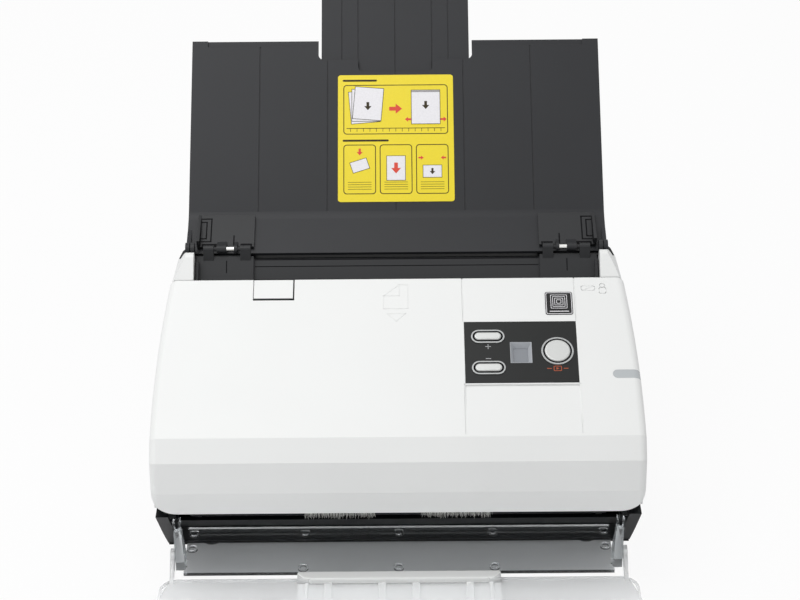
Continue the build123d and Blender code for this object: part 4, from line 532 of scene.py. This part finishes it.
# Printed film on the chute, as x and s on CHUTE, with its ink in thin layers over the film
FILM_TOP = 0.3
LAYER = 0.03
FLAT_INK = (FILM_TOP - LAYER, FILM_TOP + LAYER)
HALF_SHAFT = 0.16
HALF_HEAD = 0.42
ARROW = [(-HALF_SHAFT, 0.5), (HALF_SHAFT, 0.5), (HALF_SHAFT, 0.0), (HALF_HEAD, 0.0), (0.0, -0.5),
         (-HALF_HEAD, 0.0), (-HALF_SHAFT, 0.0)]


def arrow(mesh, x, s, size, turn=0.0, layers=2):
    """An arrow that points down the chute before it is turned."""
    prism(mesh, CHUTE, turned(ARROW, x, s, turn, size), FILM_TOP - LAYER, FILM_TOP + layers * LAYER)


class Print:
    """The label's meshes, one for each kind of thing that is printed."""

    def __init__(self):
        self.frames = bmesh.new()
        self.sheets = bmesh.new()
        self.lines = bmesh.new()
        self.arrows = bmesh.new()

    def bar(self, x, s, length):
        """A thick bar over a row of pictures."""
        height, corner = 1.5, 0.7
        prism(self.lines, CHUTE, rounded(x, s, length, height, corner), *FLAT_INK)

    def line(self, points, width):
        """A thin line straight on the film."""
        stroke(self.lines, CHUTE, points, width, *FLAT_INK)

    def picture(self, x, s, width, height):
        """A picture's frame with round corners."""
        line, corner, inner_corner = 0.6, 2.4, 1.9
        ring(self.frames, CHUTE, rounded(x, s, width, height, corner),
             rounded(x, s, width - 2 * line, height - 2 * line, inner_corner), *FLAT_INK)

    def sheet(self, x, s, width, height, lean=0.0, level=1):
        """A plain sheet with its outline, on one of the levels of a stack."""
        line = 0.35
        paper_top = FILM_TOP + 2 * level * LAYER
        outline = turned(centred(0.0, 0.0, width, height), x, s, lean)
        prism(self.sheets, CHUTE, outline, FILM_TOP - LAYER, paper_top)
        stroke(self.lines, CHUTE, outline, line, paper_top - 2 * LAYER, paper_top + LAYER, closed=True)

    def wide_picture(self):
        """A fanned stack beside a neat one, over a ruler."""
        self.picture(0.0, 77.5, 73.0, 37.0)
        width, height, stack, stack_arrow = 20.0, 24.0, 3, 6.0
        fan_x, fan_s, fan_lean = -22.0, 79.5, 5.0
        for n in range(stack):
            self.sheet(fan_x + 1.4 * n, fan_s + 1.2 * n, width, height, fan_lean * (1 - n), n + 1)
        arrow(self.lines, fan_x + 2.6, fan_s + 0.5, stack_arrow, layers=8)
        arrow(self.arrows, 0.0, 78.0, 9.0, turn=90.0)
        neat_x, neat_s = 21.0, 79.9
        for n in range(stack):
            self.sheet(neat_x, neat_s - 0.7 * n, width, height, level=n + 1)
        arrow(self.lines, neat_x, neat_s + 0.6, stack_arrow, layers=8)
        for sign in (-1, 1):
            arrow(self.arrows, neat_x + sign * 12.4, 70.0, 4.4, turn=sign * 90.0)
        half, ruler_s, ruler_width = 34.0, 63.5, 0.5
        self.line([(-half, ruler_s), (half, ruler_s)], ruler_width)
        ticks, pitch, tick_bottom, tick_top, tick_width = 15, 4.5, 61.2, 63.2, 0.35
        for n in range(ticks):
            x = (n - (ticks - 1) / 2) * pitch
            self.line([(x, tick_bottom), (x, tick_top)], tick_width)

    def small_pictures(self):
        """A tilted card, an upright sheet and a card between two arrows, each over four thin lines."""
        pitch = 25.2
        places = (-pitch, 0.0, pitch)
        for x in places:
            self.picture(x, 33.2, 22.6, 36.5)
        self.sheet(-pitch, 36.0, 12.0, 8.0, lean=18.0)
        arrow(self.arrows, -pitch, 46.0, 5.0)
        self.sheet(0.0, 34.0, 13.0, 18.0)
        arrow(self.arrows, 0.0, 34.0, 8.0, layers=4)
        self.sheet(pitch, 31.5, 13.0, 9.0)
        arrow(self.lines, pitch, 31.5, 4.5, layers=4)
        for sign in (-1, 1):
            arrow(self.arrows, pitch + sign * 7.8, 41.5, 3.6, turn=-sign * 90.0)
        rows, first, spacing, half, width = 4, 18.6, 1.7, 8.0, 0.3
        for x in places:
            for n in range(rows):
                s = first + spacing * n
                self.line([(x - half, s), (x + half, s)], width)


def label_print():
    """One wide picture over three small ones, with a bar over each row."""
    label = Print()
    label.bar(-25.0, 99.2, 24.0)
    label.wide_picture()
    label.bar(-21.0, 54.4, 32.0)
    label.small_pictures()
    for name, mesh, ink in (("label_frames", label.frames, ink_dark),
                            ("label_sheets", label.sheets, ink_white),
                            ("label_lines", label.lines, ink_dark),
                            ("label_arrows", label.arrows, ink_red)):
        piece(name, mesh, "chute", ink)


# Document guides and the entry floor
def hinge_pin(side, sign):
    """The bright pin that shows between a flap's knuckles."""
    mesh = bmesh.new()
    inner, outer, radius = 110.0, 115.4, 1.65
    x0, x1 = both(inner, outer, sign)
    tube(mesh, FOOT.at(x0, 0.0), FOOT.at(x1, 0.0), radius, radius)
    piece(f"{side}_hinge_pin", mesh, f"guide_{side}", bright_steel, smooth=True)


def flap_slot_shade(side, sign):
    """Painted shade: black strips in the slots on a guide's flap, black patches in the recesses of its
    knuckles and a black sheet on the inner face of its fin.
    """
    mesh = bmesh.new()
    width, low, high = 0.9, -2.75, -2.5
    edge = sign * 133.0
    for inner, bottom, top in ((126.6, 8.3, 27.6), (129.8, 10.8, 24.8)):
        turn = sign * inner
        stroke(mesh, FOOT, [(edge, bottom), (turn, bottom), (turn, top), (edge, top)], width, low, high)
    line_x, line_bottom, line_top = sign * 110.9, 5.4, 13.0
    stroke(mesh, FOOT, [(line_x, line_bottom), (line_x, line_top)], width, low, high)
    recess_bottom, recess_top = 4.1, 6.4
    for inner, outer in ((98.4, 106.2), (121.6, 132.6)):
        prism(mesh, FOOT, block(*both(inner, outer, sign), recess_bottom, recess_top), low, high)
    fin_inner, fin_outer = 133.55, 133.85
    fin = ((5.0, -2.7), (28.0, -2.7), (27.0, -1.2), (17.0, 1.2), (5.0, 1.2))
    loft(mesh, [[FOOT.at(x, s, h) for s, h in fin] for x in both(fin_inner, fin_outer, sign)])
    piece(f"{side}_flap_slot_shade", mesh, f"flap_{side}", painted_shade_black)


def guide_slit_shade(side, sign):
    """Painted shade: a black strip along the slit in a guide's lower plate."""
    mesh = bmesh.new()
    x, start, end, width = sign * 115.3, 163.5, 171.6, 0.7
    low, high = 2.9, 3.06
    stroke(mesh, PATH, [(x, start), (x, end)], width, low, high)
    piece(f"{side}_guide_slit_shade", mesh, f"guide_{side}", painted_shade_black)


def entry_groove_shade():
    """Painted shade: two black lines across the entry floor, between the guides, in place of grooves."""
    mesh = bmesh.new()
    half, low, high = 96.0, -0.1, 0.05
    for s, width in ((168.5, 0.6), (173.4, 0.9)):
        stroke(mesh, PATH, [(-half, s), (half, s)], width, low, high)
    piece("entry_groove_shade", mesh, "body", painted_shade_black)


# Brushes under the lip
def soft_brush(side, sign):
    """A strip of thin tapered strands with a little lean, in place of the solid's plainer brush."""
    mesh = bmesh.new()
    rows, columns, row_pitch = 4, 62, 0.9
    front, rear, back_low, back_high = 10.6, 15.0, 62.6, 66.5
    margin, sunk, tip, longest, shortest = 1.0, 0.3, 53.0, -0.3, 2.6
    jitter, lean_x, lean_y = 0.15, 1.6, 0.9
    root_radius, tip_radius = 0.2, 0.09
    inner, outer = 15.0, 61.0
    x0, x1 = both(inner, outer, sign)
    prism(mesh, LEVEL, block(x0, x1, front, rear), back_low, back_high)
    pitch = (x1 - x0 - 2 * margin) / (columns - 1)
    for row in range(rows):
        for column in range(columns):
            x = x0 + margin + column * pitch + random.uniform(-jitter, jitter)
            y = (front + rear) / 2 + (row - (rows - 1) / 2) * row_pitch
            root = LEVEL.at(x, y, back_low + sunk)
            end = LEVEL.at(x + random.uniform(-lean_x, lean_x), y + random.uniform(-lean_y, lean_y),
                           tip + random.uniform(longest, shortest))
            tube(mesh, root, end, root_radius, tip_radius, steps=4)
    brush = piece(f"{side}_soft_brush", mesh, "cover", bristle_white)
    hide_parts(f"{side}_exit_brush")


# Output tray
def tray_handle():
    """The white bar along the third piece's edge, with cut corners."""
    mesh = bmesh.new()
    low, high = 22.3, 26.9
    half = [(56.0, -18.0), (62.4, -17.0), (66.6, -12.2), (65.8, -9.6)]
    prism(mesh, LEVEL, half + [(-x, y) for x, y in reversed(half)], low, high)
    piece("tray_handle", mesh, "tray_third", white, bevel=1.2)


def third_piece_ribs():
    """Pairs of ribs along the third piece, and one across their front ends."""
    mesh = bmesh.new()
    low, high = 22.4, 23.8
    front, rear = -96.0, -18.0
    for x, width in ((60.0, 2.4), (46.0, 5.0), (11.0, 5.0)):
        for place in (-x, x):
            prism(mesh, LEVEL, block(place - width / 2, place + width / 2, front, rear), low, high)
    half, edge_front, edge_rear = 60.0, -97.0, -95.4
    prism(mesh, LEVEL, block(-half, half, edge_front, edge_rear), low, high)
    piece("third_piece_ribs", mesh, "tray_third", tray_milky, bevel=0.3)


def tray_flap_rim():
    """The raised edge round the flap."""
    mesh = bmesh.new()
    y, width, depth, rim = -56.5, 312.0, 94.0, 1.6
    corner, inner_corner = 11.5, 10.0
    low, high = 19.4, 20.6
    ring(mesh, LEVEL, rounded(0.0, y, width, depth, corner),
         rounded(0.0, y, width - 2 * rim, depth - 2 * rim, inner_corner), low, high)
    piece("tray_flap_rim", mesh, "tray_front", tray_milky)


def arm_web(side, sign):
    """The web of a side arm, which tapers toward its top."""
    mesh = bmesh.new()
    y, corner = 7.0, 2.0
    loops = []
    for z, inner, outer, depth in ((20.1, 140.4, 146.6, 13.0), (27.0, 140.0, 146.9, 12.0),
                                   (33.0, 140.4, 146.9, 10.0), (49.6, 142.4, 146.9, 6.4)):
        outline = rounded(sign * (inner + outer) / 2, y, outer - inner, depth, corner, steps=4)
        loops.append([LEVEL.at(*point, z) for point in outline])
    loft(mesh, loops)
    piece(f"{side}_arm_web", mesh, "tray", arm_clear, smooth=True)


# Back of the scanner, as x and z on REAR
SCREW_PLACES = [(x, z) for z in (80.0, 158.0) for x in (-125.0, 125.0)]
LOCK_PLACE = (110.0, 100.0)
PORT_X = -70.0


def rear_screws():
    """Tapered heads of the case screws."""
    mesh = bmesh.new()
    sunk, proud, foot_radius, head_radius = 0.2, -1.1, 3.0, 2.7
    for x, z in SCREW_PLACES:
        tube(mesh, REAR.at(x, z, sunk), REAR.at(x, z, proud), foot_radius, head_radius)
    piece("rear_screws", mesh, "body", steel, smooth=True)


def rear_recess_shade():
    """Painted shade: black crosses laid on the screw heads for their slots, and a black patch for a lock
    slot.
    """
    mesh = bmesh.new()
    length, width, low, high = 4.0, 0.7, -1.2, -1.12
    for place in SCREW_PLACES:
        for size in ((width, length), (length, width)):
            prism(mesh, REAR, centred(*place, *size), low, high)
    lock_width, lock_height, corner, lock_low, lock_high = 7.0, 3.0, 1.4, -0.3, -0.05
    prism(mesh, REAR, rounded(*LOCK_PLACE, lock_width, lock_height, corner), lock_low, lock_high)
    piece("rear_recess_shade", mesh, "body", painted_shade_black)


def chute_back_ribs():
    """Ribs along and across the back of the chute's two wings."""
    mesh = bmesh.new()
    width, low, high = 1.8, -4.3, -2.4
    bottom, top = 6.0, 118.0
    wing_inner, wing_outer = 58.0, 138.0
    for x in (-119.0, -71.0, 71.0, 119.0):
        prism(mesh, CHUTE, block(x - width / 2, x + width / 2, bottom, top), low, high)
    for s in (38.0, 112.0):
        for sign in (-1, 1):
            x0, x1 = both(wing_inner, wing_outer, sign)
            prism(mesh, CHUTE, block(x0, x1, s - width / 2, s + width / 2), low, high)
    piece("chute_back_ribs", mesh, "chute", chute_grey)


def socket_contacts():
    """The port's four gold contacts."""
    mesh = bmesh.new()
    count, pitch, width = 4, 1.2, 0.6
    bottom, top, low, high = 80.5, 83.5, 0.6, 0.9
    for n in range(count):
        x = PORT_X + (n - (count - 1) / 2) * pitch
        prism(mesh, REAR, block(x - width / 2, x + width / 2, bottom, top), low, high)
    piece("socket_contacts", mesh, "body", contact_gold)


# Floor, background, lamps and camera
CAMERA_SHARE = 0.92
MIRRORED_SHARE = 0.06
WORLD_LIGHT = 0.57


def white_floor():
    """A floor whose material glows white to the camera and faintly in gloss and clear pieces."""
    bpy.ops.mesh.primitive_plane_add(size=12.0, location=(0, 0, 0))
    ground = bpy.context.object
    ground.name = "ground"
    material, nodes, links, surface = shader("ground_white")
    surface.inputs["Base Color"].default_value = (0.85, 0.85, 0.86, 1)
    surface.inputs["Roughness"].default_value = 0.9
    glow = nodes.new("ShaderNodeEmission")
    glow.inputs["Strength"].default_value = 1.0
    path = nodes.new("ShaderNodeLightPath").outputs
    direct = calculate(nodes, links, "MULTIPLY", path["Is Camera Ray"], CAMERA_SHARE)
    behind = calculate(nodes, links, "MAXIMUM", path["Is Glossy Ray"], path["Is Transmission Ray"])
    faint = calculate(nodes, links, "MULTIPLY", behind, MIRRORED_SHARE)
    mix = nodes.new("ShaderNodeMixShader")
    links.new(calculate(nodes, links, "MAXIMUM", direct, faint), mix.inputs["Fac"])
    links.new(surface.outputs["BSDF"], mix.inputs[1])
    links.new(glow.outputs["Emission"], mix.inputs[2])
    links.new(mix.outputs["Shader"], nodes["Material Output"].inputs["Surface"])
    ground.data.materials.append(material)


def white_backdrop():
    """A world that is plain white where it is seen and dimmer as a light."""
    world = bpy.data.worlds.new("studio")
    bpy.context.scene.world = world
    world.use_nodes = True
    nodes, links = world.node_tree.nodes, world.node_tree.links
    background = nodes["Background"]
    background.inputs["Color"].default_value = (1.0, 1.0, 1.0, 1)
    path = nodes.new("ShaderNodeLightPath").outputs
    direct = calculate(nodes, links, "MAXIMUM", path["Is Camera Ray"], path["Is Transmission Ray"])
    seen = calculate(nodes, links, "MAXIMUM", direct, path["Is Glossy Ray"])
    spread(nodes, links, seen, background.inputs["Strength"], WORLD_LIGHT, 1.0)


def area_lamp(name, place, target, size, power):
    """A square lamp turned to a target, all in metres and watts."""
    lamp = bpy.data.lights.new(name, "AREA")
    lamp.shape = "SQUARE"
    lamp.size = size
    lamp.energy = power
    holder = bpy.data.objects.new(name, lamp)
    bpy.context.scene.collection.objects.link(holder)
    holder.location = place
    aim = Vector(target) - Vector(place)
    holder.rotation_euler = aim.to_track_quat("-Z", "Y").to_euler()


def photo_camera():
    """The photograph's view: 31 degrees down, from a long lens."""
    lens = bpy.data.cameras.new("photo_camera")
    lens.sensor_width = 36.0
    lens.lens = 94.5
    camera = bpy.data.objects.new("photo_camera", lens)
    bpy.context.scene.collection.objects.link(camera)
    across, in_front, height = 2.0, 1091.6, 882.4
    look_down, roll = 31.0, 0.45
    camera.matrix_world = (Matrix.Translation(Vector((across, NOSE_Y - in_front, height)) * MM)
                           @ Matrix.Rotation(math.radians(90.0 - look_down), 4, "X")
                           @ Matrix.Rotation(math.radians(-roll), 4, "Z"))
    bpy.context.scene.camera = camera


dress_nodes()

cover_symbols()
key_marks()
scan_mark()
display_floor()
painted_key_gap_shade()
release_gap_shade()
badge_lines()
label_print()

for side, sign in SIDES:
    hinge_pin(side, sign)
    flap_slot_shade(side, sign)
    guide_slit_shade(side, sign)
entry_groove_shade()
for side, sign in SIDES:
    soft_brush(side, sign)

tray_handle()
third_piece_ribs()
tray_flap_rim()
for side, sign in SIDES:
    arm_web(side, sign)

rear_screws()
rear_recess_shade()
chute_back_ribs()
socket_contacts()

white_floor()
white_backdrop()
area_lamp("overhead", (-0.45, -0.05, 1.75), (0.0, 0.0, 0.1), 1.1, 12.2)
area_lamp("left_fill", (-0.9, -1.0, 0.8), (0.0, 0.0, 0.15), 0.7, 2.1)
photo_camera()
bpy.context.scene.view_settings.view_transform = "Standard"
